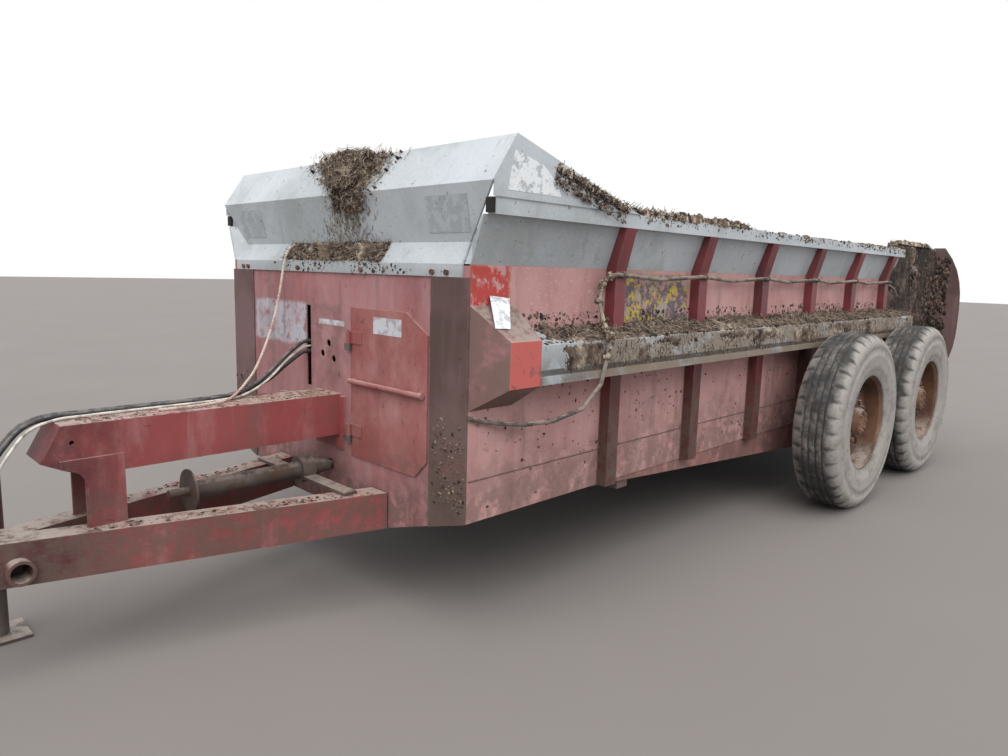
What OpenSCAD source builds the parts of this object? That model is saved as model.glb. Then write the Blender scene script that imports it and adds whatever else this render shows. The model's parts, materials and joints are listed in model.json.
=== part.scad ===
// Tandem axle rear discharge manure spreader, parked on its jack.
// +X points forward to the hitch, +Y to the left side and +Z up.
// The origin is on the ground, midway along and across the machine. All sizes are in mm.

/* [Overall] */
// From the front panel to the hitch tip
tongue_reach = 1770; // [1750:10:1900]
// Curve resolution of the small round parts
round_fn = 48; // [32:8:96]

/* [Load box] */
// Width over the side walls
box_w = 1794; // [1760:2:1820]
// Thickness of the side, flare and panel sheets
sheet_t = 5; // [4:1:6]
// From the front panel to the foot of the inner front wall
bulkhead_back = 480; // [460:10:520]
// From the front panel to the bend of the inner front wall
bulkhead_bend = 330; // [280:10:360]
// Lower edge of the side walls above the ground
wall_bottom_z = 466; // [460:2:480]
// Top of the floor sheet above the ground
floor_z = 630; // [626:2:640]
// Seam between the red wall and the galvanised flare
seam_z = 1403; // [1390:1:1420]
// Length of the side walls behind the front panel
wall_l = 4480; // [4400:10:4500]
// Height of the flare above the seam
flare_h = 169; // [150:1:180]
// How far the flare leans outwards
flare_lean = 59; // [40:1:70]
// Width of the top rail
top_rail_w = 40; // [30:2:50]
// Height of the top rail
top_rail_h = 58; // [40:2:60]

/* [Ribs and ledge] */
// Number of ribs on each side
rib_count = 6; // [4:1:6]
// From the front panel to the middle of the first rib
rib_first = 822; // [780:1:860]
// From the middle of the last rib to the rear end of the side walls
rib_last = 208; // [150:1:260]
// Width of a rib along the box
rib_w = 75; // [60:1:80]
// Depth of a rib out from the wall
rib_d = 50; // [40:1:55]
// How far the ledge stands out from the wall
ledge_d = 143; // [120:1:150]
// Lower edge of the ledge
ledge_z = 975; // [960:1:990]
// Height of the outer face of the ledge
ledge_h = 145; // [120:1:150]
// Rise of the top of the ledge towards the wall
ledge_rise = 40; // [20:1:60]
// Length of the slanted front end of the ledge
ledge_nose = 73; // [50:1:90]
// Length of the red ledge end in front of the galvanised cover
ledge_end_l = 157; // [120:1:180]
// How far the ledge reaches behind the side walls
ledge_past = 200; // [120:10:240]

/* [Front panel] */
// How deep the panel sits behind the corner posts
panel_recess = 8; // [4:1:12]
// Lower edge of the panel between the frame rails
panel_low_z = 325; // [315:1:330]
// Width of each corner post
post_w = 205; // [160:1:210]
// Hinge side of the door, from the middle
door_y = 172; // [168:1:180]
// Gap between the door and the corner post
door_post_gap = 15; // [8:1:40]
// Lower edge of the door
door_z = 582; // [575:1:620]
// Height of the door
door_h = 634; // [600:1:640]
// Size of the clipped upper corner of the door
door_clip = 130; // [60:1:160]
// Thickness of the door
door_t = 8; // [6:1:10]
// How far the door laps over the rim of its opening
door_lap = 18; // [12:1:30]
// Clipped lower corner of the door
door_low_clip = 70; // [30:1:100]
// Near edge of the hose slot, from the middle
slot_y = -194; // [-220:1:-180]
// Width of the hose slot
slot_w = 36; // [30:1:40]
// Lower end of the hose slot
slot_z = 842; // [830:1:900]
// Height of the hose slot
slot_h = 366; // [300:1:380]
// Radius of the three hose holes beside the slot
hose_hole_r = 16; // [12:1:20]

/* [Front flare] */
// How far the end of the shelf edge stays inside the side wall
shelf_inset = 38; // [20:1:50]
// How far the end of the fold stays inside the side wall
fold_inset = 57; // [50:1:70]
// Gap between the top rail and the gusset of the spill shield
shield_gap = 1; // [0.5:0.5:6]
// Depth of the shelf lip below the seam
lip_h = 46; // [30:1:60]
// Height of the fold above the seam
fold_h = 79; // [60:1:90]
// Setback of the fold from the panel
fold_back = 55; // [45:1:65]
// Height of the shield crease above the seam
crease_h = 278; // [260:1:290]
// Height of the top of the shield above the seam
shield_h = 441; // [420:1:460]
// Setback of the top of the shield
shield_back = 116; // [100:1:130]
// From the panel to the rear point of the shield gusset
gusset_l = 860; // [800:1:900]

/* [Frame] */
// Width of each main and tongue rail
rail_w = 100; // [80:1:110]
// Outer face of the main rails from the middle
rail_y = 430; // [400:1:440]
// Lower face of the rails
rail_z = 325; // [315:1:330]
// Height of the tongue rails
tongue_rail_h = 150; // [130:1:160]
// Height of the cross beams between the rails
cross_h = 110; // [100:1:115]
// Number of cross beams
cross_count = 7; // [5:1:7]
// From the front panel to the first cross beam
cross_first = 200; // [150:10:220]
// From the last cross beam to the rear end of the machine
cross_last = 660; // [620:10:700]
// Thickness of the side sills
sill_t = 8; // [6:1:10]
// Lower edge of the side sills at the axle pivot
sill_low_z = 285; // [270:1:300]

/* [Tongue] */
// Angle of each tongue rail from straight ahead
tongue_angle = 15.86; // [15.4:0.02:16.2]
// Width of the upper beam
beam_w = 180; // [160:1:190]
// Height of the upper beam
beam_h = 178; // [160:1:190]
// Top of the upper beam above the ground
beam_top_z = 838; // [820:1:850]
// Length of the upper beam at its lower edge
beam_l = 1130; // [1100:5:1160]
// From the panel to the rear face of the post
post_x = 884; // [860:1:900]
// Length of the post plates
post_l = 116; // [100:1:130]
// Radius of the hitch pin hole
hitch_pin_r = 16.5; // [15:0.5:19]
// Thickness of each hitch plate
hitch_plate_t = 20; // [16:1:25]
// Gap between the two hitch plates
hitch_gap = 60; // [50:1:70]
// Half width of the hitch where it meets the tongue
hitch_half_w = 70; // [60:1:80]
// Thickness of the two post plates
post_t = 12; // [8:1:16]

/* [Wheels] */
// Outer radius of a tyre
tyre_r = 535; // [525:1:540]
// Width of a tyre
tyre_w = 279; // [270:1:285]
// Gap between a rib and the walking beam
walk_gap = 8; // [6:1:20]
// Gap between the walking beam and the tyre
tyre_gap = 27; // [20:1:40]
// Radius of the rim flange
rim_r = 300; // [290:1:305]
// Distance between the two axles
axle_gap = 1264; // [1240:2:1300]
// From the rear end of the side walls to the middle between the axles
axle_ahead = 950; // [920:5:980]
// Radius of a spindle
spindle_r = 35; // [30:1:40]
// Height of the pivot axle above the ground
pivot_z = 400; // [395:1:402]
// Radius of the pivot axle
pivot_r = 40; // [35:1:42]
// Width of a walking beam
walk_w = 90; // [80:1:92]
// How far a walking beam reaches past its spindles
walk_end = 80; // [60:1:90]

/* [Apron] */
// From the front panel to the front apron shaft
apron_back = 450; // [430:5:460]
// From the rear end of the side walls to the rear apron shaft
apron_past = 180; // [150:5:200]
// Distance between the beams under the floor
floor_beam_pitch = 700; // [600:10:740]
// Height of the beams under the floor
floor_beam_h = 58; // [50:1:60]
// Height of a slat
slat_h = 30; // [24:1:30]
// Width of a slat along the floor
slat_w = 50; // [40:1:60]
// Distance between slats
slat_pitch = 176; // [150:1:220]
// Chain height
chain_h = 22; // [18:1:24]
// Chain width
chain_w = 26; // [20:1:30]
// Chains from the middle
chain_y = 620; // [560:5:700]
// From the floor top to the middle of the apron shafts
apron_drop = 34; // [33:0.5:36]
// Radius of the apron shafts
apron_shaft_r = 22; // [18:1:24]

/* [Beaters] */
// Length of the housing behind the side walls
housing_l = 1180; // [1160:5:1300]
// Thickness of the housing side plates
housing_t = 6; // [5:1:8]
// Top of the housing
housing_top_z = 1690; // [1670:1:1700]
// From the rear end of the side walls to the shaft of the lower beater
lower_beater_past = 600; // [590:5:650]
// Height of the lower beater shaft
lower_beater_z = 930; // [925:1:940]
// Tip radius of the lower beater
lower_beater_r = 295; // [270:1:298]
// From the rear end of the side walls to the shaft of the upper beater
upper_beater_past = 520; // [500:5:560]
// Height of the upper beater shaft
upper_beater_z = 1462; // [1460:1:1470]
// Tip radius of the upper beater
upper_beater_r = 215; // [200:1:218]
// Radius of the beater shafts
beater_shaft_r = 28; // [24:1:30]
// Paddles on a beater
paddle_count = 26; // [16:1:30]
// From the rear end of the machine to the middle of the gearbox
gear_ahead = 380; // [350:5:400]
// Length of the gearbox case
gear_l = 240; // [200:5:280]
// Width of the gearbox case
gear_w = 260; // [220:5:300]
// Lower face of the gearbox case
gear_low_z = 420; // [410:1:425]
// Height of the gearbox case
gear_h = 175; // [150:1:180]
// How far the rear flange reaches out from the side wall
flange_out = 242; // [200:1:260]
// How much the flange is rounded in at its top
flange_round = 159; // [100:1:170]
// Height of the widest place of the flange
flange_mid_z = 1090; // [1050:10:1150]
// Height of the foot of the flange above the lower edge of the walls
flange_foot = 260; // [200:5:300]
// From the rear end to the front of the lower rear tie
tie_ahead = 200; // [180:5:220]
// Depth of the chain guard
guard_d = 96; // [80:1:110]
// Thickness of the chain guard's sheet
guard_t = 4; // [3:1:5]

/* [Driveline] */
// Height of the driveline
drive_z = 508; // [506:0.5:509]
// Radius of the tube in front of the panel
drive_tube_r = 36; // [30:1:40]
// From the panel to the front end of the tube
drive_reach = 620; // [580:5:640]
// Radius of the line shaft under the floor
line_shaft_r = 16; // [14:1:18]
// Radius of the ring at the front end
ring_r = 85; // [70:1:95]

/* [Jack] */
// From the panel to the jack pivot
jack_x = 1207; // [1190:1:1220]
// Height of the jack pivot
jack_z = 380; // [370:1:390]
// Distance of the jack from the middle
jack_y = 300; // [290:1:320]
// Radius of the jack tube
jack_r = 36; // [32:1:40]
// Top of the jack tube
jack_top_z = 650; // [620:5:700]
// Side of the foot plate
foot_w = 170; // [150:5:180]

/* [Hoses] */
// Radius of a hydraulic hose
hose_r = 9; // [7:0.5:10]
// Radius of the pale cable
cable_r = 5; // [4:0.5:6]
// Radius of the rope
rope_r = 6; // [5:0.5:7]

/* [Hidden] */

// Clearance between faces that seat on each other
seat = 0.3;
// Places along the machine
overall_l = tongue_reach + wall_l + housing_l;
front_x = overall_l / 2 - tongue_reach;
wall_y = box_w / 2;
wall_rear_x = front_x - wall_l;
rear_x = -overall_l / 2;
panel_x = front_x - panel_recess;
axle_x = wall_rear_x + axle_ahead;
wall_in_y = wall_y - sheet_t - seat;
inner_y = wall_y - max(sheet_t, housing_t) - seat;
lip_z = seam_z + flare_h;
lip_y = wall_y + flare_lean;
rail_out_y = lip_y - sheet_t + top_rail_w;
shelf_half_w = wall_y - shelf_inset;
fold_half_w = wall_y - fold_inset;
shield_half_w = rail_out_y + shield_gap + sheet_t;
walk_y = wall_y + rib_d + walk_gap;
wheel_mid_y = walk_y + walk_w + tyre_gap + tyre_w / 2;
rib_pitch = (wall_l - rib_first - rib_last) / (rib_count - 1);
rib_xs = [for (i = [0:rib_count - 1]) front_x - rib_first - i * rib_pitch];

red = "#a04038";
pale = "#d8d4c8";
rib_red = "#7d1f1f";
dull_red = "#b5776c";
brown = "#5a4038";
galvanised = "#9ba39c";
steel = "#6e6c68";
rust = "#6b4632";
rubber = "#55534f";
black = "#242424";

// An outline in Y and Z, drawn out along X from x0 over length
module along_x(outline, x0, length)
    translate([x0, 0, 0]) rotate([90, 0, 90]) linear_extrude(length) polygon(outline);

// An outline in X and Z, drawn out along Y from y0 over width
module along_y(outline, y0, width)
    translate([0, y0 + width, 0]) rotate([90, 0, 0]) linear_extrude(width) polygon(outline);

module rod_y(x, z, y0, length, r)
    translate([x, y0, z]) rotate([-90, 0, 0]) cylinder(r = r, h = length, $fn = round_fn);

module rod_x(y, z, x0, length, r)
    translate([x0, y, z]) rotate([0, 90, 0]) cylinder(r = r, h = length, $fn = round_fn);

module both_sides() {
    children();
    mirror([0, 1, 0]) children();
}

// A smooth curve through the points of a route, with steps rings between two points
function curve_point(a, b, c, d, u) =
    0.5 * (2 * b + (c - a) * u + (2 * a - 5 * b + 4 * c - d) * u * u + (3 * b - a - 3 * c + d) * u * u * u);
function curve(p, steps) = concat(
    [for (i = [0:len(p) - 2], s = [0:steps - 1])
        curve_point(p[max(i - 1, 0)], p[i], p[i + 1], p[min(i + 2, len(p) - 1)], s / steps)],
    [p[len(p) - 1]]);
function unit(v) = v / norm(v);
function heading(p, i) = unit(p[min(i + 1, len(p) - 1)] - p[max(i - 1, 0)]);
function flatten_to(v, t) = unit(v - (v * t) * t);
// One sideways direction for each ring, carried along the route without twist
function sideways(p, i = 0, found = []) =
    i == len(p) ? found :
    sideways(p, i + 1, concat(found,
        [flatten_to(i == 0 ? [0.13, 0.21, 0.97] : found[i - 1], heading(p, i))]));

// A tube swept along a route
module hose(route, radius, steps = 2, sides = 8) {
    p = curve(route, steps);
    side = sideways(p);
    rings = len(p);
    points = [for (i = [0:rings - 1], j = [0:sides - 1])
        p[i] + radius * (cos(360 * j / sides) * side[i]
            + sin(360 * j / sides) * cross(heading(p, i), side[i]))];
    walls = [for (i = [0:rings - 2], j = [0:sides - 1])
        [i * sides + j, (i + 1) * sides + j, (i + 1) * sides + (j + 1) % sides, i * sides + (j + 1) % sides]];
    first_end = [for (j = [0:sides - 1]) j];
    last_end = [for (j = [sides - 1:-1:0]) (rings - 1) * sides + j];
    polyhedron(points, concat([first_end], walls, [last_end]));
}

door_w = wall_y - post_w - door_post_gap - door_y;
door_clip_h = door_clip * 0.6;

// Outline of the door, or of its opening where it is made smaller all round
module door_outline(grow = 0)
    polygon([
        [door_y - grow, door_z - grow],
        [door_y + door_w - door_low_clip + grow, door_z - grow],
        [door_y + door_w + grow, door_z + door_low_clip - grow],
        [door_y + door_w + grow, door_z + door_h - door_clip_h + grow],
        [door_y + door_w - door_clip + grow, door_z + door_h + grow],
        [door_y - grow, door_z + door_h + grow]]);

// Three holes beside the slot, given as distances across and above its near lower corner
hose_holes = [[182, 207], [132, 158], [221, 141]];
slot_top_z = slot_z + slot_h;
// The panel is five sheets: one beyond the slot, one across the top, one between the slot and the door,
// one beside the door and one under it. The door laps less over the top sheet than over the others.
module front_panel() color(red) difference() {
    edge_y = wall_y - sheet_t;
    top_z = seam_z - sheet_t;
    jamb_y = door_y + door_lap;
    step_z = door_z + door_lap;
    for (outline = [
        [[-edge_y, wall_bottom_z], [-rail_y, panel_low_z], [slot_y, panel_low_z], [slot_y, top_z], [-edge_y, top_z]],
        [[slot_y + seat, slot_top_z], [edge_y, slot_top_z], [edge_y, top_z], [slot_y + seat, top_z]],
        [[slot_y + seat, panel_low_z], [jamb_y - seat, panel_low_z], [jamb_y - seat, slot_top_z - seat],
            [slot_y + slot_w, slot_top_z - seat], [slot_y + slot_w, slot_z], [slot_y + seat, slot_z]],
        [[jamb_y, step_z + seat], [edge_y, step_z + seat], [edge_y, slot_top_z - seat], [jamb_y, slot_top_z - seat]],
        [[jamb_y, panel_low_z], [rail_y, panel_low_z], [edge_y, wall_bottom_z], [edge_y, step_z], [jamb_y, step_z]]])
        along_x(outline, panel_x - sheet_t, sheet_t);
    for (rise = [0, slot_top_z - door_z - door_h + door_lap])
        translate([panel_x - 2 * sheet_t, 0, rise]) rotate([90, 0, 90]) linear_extrude(3 * sheet_t)
            door_outline(-door_lap);
    for (hole = hose_holes)
        rod_x(slot_y + hole[0], slot_z + hole[1], panel_x - 2 * sheet_t, 3 * sheet_t, hose_hole_r);
    rod_x(0, drive_z, panel_x - 2 * sheet_t, 3 * sheet_t, line_shaft_r + 8);
}

// Each post is a wide plate over the front corner of the box
module corner_posts() color(brown) both_sides()
    along_x([
        [wall_y - post_w, wall_bottom_z - (post_w / (wall_y - rail_y)) * (wall_bottom_z - panel_low_z)],
        [wall_y, wall_bottom_z], [wall_y, seam_z - lip_h], [wall_y - post_w, seam_z - lip_h]],
        panel_x, panel_recess);

// Inner front wall of the load space, from over the apron up to the fold of the flare
foot_z = floor_z + slat_h + 12;
module bulkhead() color(galvanised)
    along_y([
        [front_x - bulkhead_back, foot_z], [front_x - bulkhead_back + sheet_t, foot_z],
        [front_x - bulkhead_bend + sheet_t, seam_z - 60], [front_x - fold_back - 14, seam_z + fold_h - 6],
        [front_x - fold_back - 20, seam_z + fold_h - 6], [front_x - bulkhead_bend, seam_z - 60]],
        -wall_in_y, 2 * wall_in_y);

module side_walls() color(dull_red) both_sides()
    translate([wall_rear_x, wall_y - sheet_t, wall_bottom_z])
        cube([wall_l - panel_recess, sheet_t, seam_z - wall_bottom_z]);

module flares() color(galvanised) both_sides()
    along_x([
        [wall_y - sheet_t, seam_z], [wall_y, seam_z],
        [lip_y, lip_z], [lip_y - sheet_t, lip_z]],
        wall_rear_x, wall_l - panel_recess);

module top_rails() color("#c9ccc6") both_sides()
    translate([wall_rear_x, lip_y - sheet_t, lip_z])
        cube([wall_l - 30, top_rail_w, top_rail_h]);

// Folded front sheet, cut to the outline that is seen from the front
module front_flare() color(galvanised) {
    fold_x = front_x - fold_back;
    crease_x = front_x - 6;
    top_x = front_x - shield_back;
    intersection() {
        along_y([
            [front_x, seam_z - lip_h], [front_x, seam_z], [fold_x, seam_z + fold_h],
            [crease_x, seam_z + crease_h], [top_x, seam_z + shield_h],
            [top_x - 7, seam_z + shield_h], [crease_x - 8, seam_z + crease_h],
            [fold_x - 8, seam_z + fold_h], [front_x - panel_recess, seam_z - 4],
            [front_x - panel_recess, seam_z - lip_h]],
            -shield_half_w, 2 * shield_half_w);
        along_x([
            [-shelf_half_w, seam_z - lip_h - 1], [shelf_half_w, seam_z - lip_h - 1],
            [shelf_half_w, seam_z], [fold_half_w, seam_z + fold_h],
            [shield_half_w, seam_z + crease_h], [shield_half_w, seam_z + shield_h + 1],
            [-shield_half_w, seam_z + shield_h + 1], [-shield_half_w, seam_z + crease_h],
            [-fold_half_w, seam_z + fold_h], [-shelf_half_w, seam_z]],
            front_x - 2 * shield_back, 3 * shield_back);
    }
    both_sides() along_y([
        [front_x - 14, lip_z + top_rail_h], [front_x - 14, seam_z + crease_h],
        [top_x - 7, seam_z + shield_h], [front_x - gusset_l, lip_z + top_rail_h]],
        shield_half_w - sheet_t, sheet_t);
}

module ribs() color(rib_red) both_sides() for (x = rib_xs) {
    along_x([
        [wall_y, seam_z], [wall_y, ledge_top_z(0) + seat], [wall_y + rib_d, ledge_top_z(rib_d) + seat],
        [wall_y + rib_d, seam_z - 6], [lip_y + 36, lip_z], [lip_y, lip_z]],
        x - rib_w / 2, rib_w);
    translate([x - rib_w / 2, wall_y, wall_bottom_z])
        cube([rib_w, rib_d, ledge_z - wall_bottom_z - 2 * seat]);
}

// Height of the top of the ledge, a distance out from the wall
function ledge_top_z(out) = ledge_z + ledge_h + ledge_rise * (1 - out / ledge_d);

module ledges() color(galvanised) both_sides()
    along_x([
        [wall_y, ledge_top_z(0)], [wall_y + ledge_d, ledge_top_z(ledge_d)],
        [wall_y + ledge_d, ledge_z], [wall_y + ledge_d - 30, ledge_z],
        [wall_y + ledge_d - 30, ledge_z + sheet_t], [wall_y + ledge_d - sheet_t, ledge_z + sheet_t],
        [wall_y + ledge_d - sheet_t, ledge_top_z(ledge_d) - sheet_t], [wall_y, ledge_top_z(0) - sheet_t]],
        wall_rear_x - ledge_past, wall_l + ledge_past - ledge_nose - ledge_end_l);

// The red end of the ledge, slanted in front to meet the corner of the box
module ledge_noses() color(red) both_sides() intersection() {
    x0 = front_x - ledge_nose - ledge_end_l;
    along_x([
        [wall_y, ledge_z - 91], [wall_y + ledge_d, ledge_z],
        [wall_y + ledge_d, ledge_top_z(ledge_d) + 20], [wall_y, ledge_top_z(0) + 100]],
        x0 + seat, ledge_end_l + ledge_nose);
    translate([0, 0, ledge_z - 200]) linear_extrude(600) polygon([
        [x0 + seat, wall_y], [front_x - panel_recess, wall_y], [front_x - panel_recess, wall_y + 2],
        [front_x - ledge_nose, wall_y + ledge_d], [x0 + seat, wall_y + ledge_d]]);
}

apron_front_x = front_x - apron_back;
apron_rear_x = wall_rear_x - apron_past;
apron_z = floor_z - apron_drop;
chain_pitch_r = apron_drop + chain_h / 2 + 4;
slat_out = apron_drop + seat + slat_h;

module floor() color("#8a8880")
    translate([apron_rear_x + 60, -inner_y, floor_z - sheet_t])
        cube([apron_front_x - apron_rear_x - 120, 2 * inner_y, sheet_t]);

module floor_beams() color(brown)
    for (x = [apron_rear_x + 120:floor_beam_pitch:apron_front_x - 120])
        translate([x - 30, -inner_y, floor_z - sheet_t - floor_beam_h])
            cube([60, 2 * inner_y, floor_beam_h]);

// Both chains are closed loops, and the slats are welded across them
module apron() color(steel) {
    run = apron_front_x - apron_rear_x;
    for (y = [-chain_y, chain_y])
        translate([0, y + chain_w / 2, apron_z]) rotate([90, 0, 0]) linear_extrude(chain_w) difference() {
            hull_loop(apron_rear_x, apron_front_x, chain_pitch_r + chain_h / 2);
            hull_loop(apron_rear_x, apron_front_x, chain_pitch_r - chain_h / 2);
        }
    half_slats = floor((run / 2 - 20) / slat_pitch);
    for (i = [-half_slats:half_slats], side = [0, 1])
        translate([(apron_front_x + apron_rear_x) / 2 + i * slat_pitch, 0, apron_z])
            mirror([0, 0, side]) translate([-slat_w / 2, -wall_y + 32, apron_drop + seat])
                cube([slat_w, 2 * wall_y - 64, slat_h]);
}

module hull_loop(x0, x1, r) {
    translate([x0, -r]) square([x1 - x0, 2 * r]);
    translate([x0, 0]) circle(r, $fn = 64);
    translate([x1, 0]) circle(r, $fn = 64);
}

module apron_shafts() color(steel)
    for (x = [apron_front_x, apron_rear_x]) {
        rod_y(x, apron_z, -inner_y, 2 * inner_y, apron_shaft_r);
        for (y = [-chain_y, chain_y])
            rod_y(x, apron_z, y - 9, 18, chain_pitch_r - chain_h / 2 - seat);
    }

module apron_motor() color("#39424a") translate([apron_rear_x, wall_y + seat, apron_z]) {
    translate([-70, 0, -80]) cube([140, 70, 160]);
    rod_y(0, 0, 60, 60, 48);
}

module main_rails() color(brown) both_sides() difference() {
    translate([front_x - housing_l - wall_l + 120, rail_y - rail_w, rail_z])
        cube([housing_l + wall_l - 120 - panel_recess - sheet_t - seat, rail_w, apron_z - slat_out - seat - rail_z]);
    rod_y(axle_x, pivot_z, rail_y - rail_w - 1, rail_w + 2, pivot_r + seat);
}

cross_pitch = (wall_l + housing_l - cross_first - cross_last) / (cross_count - 1);
cross_xs = [for (i = [0:cross_count - 1]) front_x - cross_first - i * cross_pitch];
module cross_beams() color(brown) for (x = cross_xs) {
    difference() {
        union() {
            translate([x - 40, -rail_y + rail_w + seat, rail_z + 15])
                cube([80, 2 * (rail_y - rail_w - seat), cross_h]);
            translate([x - 25, -45, rail_z + 15]) cube([50, 90, drive_z + line_shaft_r + 5 - rail_z - 15]);
        }
        rod_x(0, drive_z, x - 41, 82, line_shaft_r + 0.5);
    }
    if (x < sill_front_x && x > wall_rear_x) both_sides()
        translate([x - 40, rail_y + seat, rail_z + 15 + 66])
            cube([80, wall_y - sheet_t - sill_t - rail_y - 2 * seat, cross_h - 30]);
}

sill_top_z = floor_z - sheet_t - floor_beam_h - seat;
sill_front_x = front_x - 700;
module sills() color(dull_red) both_sides() difference() {
    along_y([
        [sill_front_x, sill_top_z], [sill_front_x, wall_bottom_z],
        [axle_x + 450, sill_low_z + 5], [axle_x + 300, sill_low_z], [axle_x - 300, sill_low_z],
        [wall_rear_x, wall_bottom_z], [wall_rear_x, sill_top_z]],
        wall_y - sheet_t - sill_t, sill_t);
    rod_y(axle_x, pivot_z, wall_y - sheet_t - sill_t - 1, sill_t + 2, pivot_r + seat);
}

// Half width of the tongue at a distance forward of the panel, and its inner face
function tongue_out(x) = rail_y - tan(tongue_angle) * x;
tongue_skin = rail_w / cos(tongue_angle);
merge_x = (rail_y - tongue_skin) / tan(tongue_angle);
head_x = (rail_y - hitch_half_w) / tan(tongue_angle);
tongue_top_z = rail_z + tongue_rail_h;
jack_sleeve_r = 42;
jack_pin_r = 31.5;
jack_pin_gap = 0.5;
sleeve_half_l = 125;
sleeve_wall_t = 30;
jack_pos_x = front_x + jack_x;

module tongue_rails() color(red) difference() {
    union() {
        both_sides() translate([front_x + seat, 0, rail_z]) linear_extrude(tongue_rail_h) polygon([
            [0, tongue_out(0)], [head_x, tongue_out(head_x)], [head_x, 0],
            [merge_x, 0], [0, tongue_out(0) - tongue_skin]]);
        rod_y(jack_pos_x, jack_z, -sleeve_half_l, 2 * sleeve_half_l, jack_sleeve_r);
    }
    both_sides() rod_y(jack_pos_x, jack_z, sleeve_wall_t / 2, sleeve_half_l, jack_pin_r + jack_pin_gap);
}

// Upper beam with its slanted end and the two post plates with their curved gussets.
// The tractor shaft runs between the plates.
module tongue_beam() color(red) difference() {
    union() {
        along_y([
            [panel_x + seat, beam_top_z - beam_h], [front_x + post_x + post_l, beam_top_z - beam_h],
            [front_x + beam_l - 60, beam_top_z - beam_h + 30], [front_x + beam_l, beam_top_z - beam_h + 60],
            [front_x + beam_l - 65, beam_top_z], [panel_x + seat, beam_top_z]],
            -beam_w / 2, beam_w);
        both_sides() translate([front_x + post_x, beam_w / 2 - post_t, tongue_top_z + seat])
            cube([post_l, post_t, beam_top_z - beam_h - tongue_top_z]);
        both_sides() along_y(concat(
            [[front_x + post_x - 8, tongue_top_z + seat], [front_x + post_x + post_l - 4, tongue_top_z + seat]],
            [for (a = [180:-15:90])
                [front_x + post_x + post_l + 71 + 75 * cos(a), beam_top_z - beam_h - 45 + 75 * sin(a)]],
            [[front_x + beam_l - 55, beam_top_z - beam_h + 60], [front_x + post_x - 8, beam_top_z - beam_h + 60]]),
            beam_w / 2, 6);
    }
    rod_y(front_x + beam_l - 95, beam_top_z - 60, -beam_w, 2 * beam_w, 8);
}

hitch_z = rail_z + tongue_rail_h / 2;
hitch_end = 55;
pin_x = front_x + tongue_reach - hitch_end;
module hitch() color(rib_red) difference() {
    union() {
        translate([front_x + head_x + 2 * seat, -hitch_half_w, rail_z])
            cube([100, 2 * hitch_half_w, tongue_rail_h]);
        for (z = [hitch_z - hitch_gap / 2 - hitch_plate_t, hitch_z + hitch_gap / 2]) {
            translate([front_x + head_x + 50, -hitch_half_w + 5, z])
                cube([pin_x - front_x - head_x - 50, 2 * hitch_half_w - 10, hitch_plate_t]);
            translate([pin_x, 0, z]) intersection() {
                cylinder(r = hitch_half_w - 5, h = hitch_plate_t, $fn = round_fn);
                translate([-100, -100, 0]) cube([100 + hitch_end, 200, hitch_plate_t]);
            }
        }
    }
    translate([pin_x, 0, hitch_z - 200]) cylinder(r = hitch_pin_r, h = 400, $fn = round_fn);
}

module pivot_axle() color(steel)
    rod_y(axle_x, pivot_z, -walk_y - walk_w - 20, 2 * (walk_y + walk_w + 20), pivot_r);

walk_half_l = axle_gap / 2 + walk_end;
// Each walking beam carries a spindle at both of its ends
module walking_beams() color(rust) both_sides() difference() {
    union() {
        along_y([
            [axle_x - walk_half_l, tyre_r - 55], [axle_x - 150, pivot_z - 72], [axle_x + 150, pivot_z - 72],
            [axle_x + walk_half_l, tyre_r - 55], [axle_x + walk_half_l, tyre_r + 55], [axle_x + 150, pivot_z + 115],
            [axle_x - 150, pivot_z + 115], [axle_x - walk_half_l, tyre_r + 55]],
            walk_y, walk_w);
        for (side = [-1, 1]) {
            rod_y(axle_x + side * axle_gap / 2, tyre_r, walk_y + walk_w - 1, 25, spindle_r + 18);
            rod_y(axle_x + side * axle_gap / 2, tyre_r, walk_y + walk_w - 1,
                wheel_mid_y + 35 - walk_y - walk_w, spindle_r);
        }
    }
    rod_y(axle_x, pivot_z, walk_y - 1, walk_w + 2, pivot_r + seat);
}

// A profile of radius and height, turned about the axle of the wheel at front or rear, left or right
module at_wheel(end, side)
    translate([axle_x + end * axle_gap / 2, side * wheel_mid_y, tyre_r])
        rotate([side > 0 ? -90 : 90, 0, 0]) children();

bead_r = rim_r - 12;
module tyre(end, side) color(rubber) at_wheel(end, side)
    rotate_extrude($fn = 48) polygon([
        [bead_r, -tyre_w / 2 + 42], [rim_r + 30, -tyre_w / 2 + 14], [rim_r + 120, -tyre_w / 2],
        [tyre_r - 55, -tyre_w / 2 + 3], [tyre_r - 18, -tyre_w / 2 + 20], [tyre_r, -tyre_w / 2 + 55],
        [tyre_r, tyre_w / 2 - 55], [tyre_r - 18, tyre_w / 2 - 20], [tyre_r - 55, tyre_w / 2 - 3],
        [rim_r + 120, tyre_w / 2], [rim_r + 30, tyre_w / 2 - 14], [bead_r, tyre_w / 2 - 42]]);

hand_holes = 8;
module wheel(end, side) color(rust) at_wheel(end, side) difference() {
    union() {
        rotate_extrude($fn = 64) polygon([
            [bead_r - seat, -98], [bead_r - seat, 98], [rim_r, 107], [rim_r, 113], [bead_r - 5, 108],
            [bead_r - 16, 96], [bead_r - 16, -96], [bead_r - 5, -108], [rim_r, -113], [rim_r, -107]]);
        rotate_extrude($fn = 64) polygon([
            [60, 40], [150, 40], [205, 8], [bead_r - 15, 8], [bead_r - 15, -2], [200, -2],
            [146, 30], [60, 30]]);
        rotate_extrude($fn = 64) polygon([
            [spindle_r + 0.5, -90], [88, -90], [88, 62], [72, 92], [0, 92], [0, 55], [spindle_r + 0.5, 55]]);
    }
    for (i = [0:hand_holes - 1]) rotate(360 * i / hand_holes)
        translate([238, 0, -10]) cylinder(r = 23, h = 30, $fn = 32);
}

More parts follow.
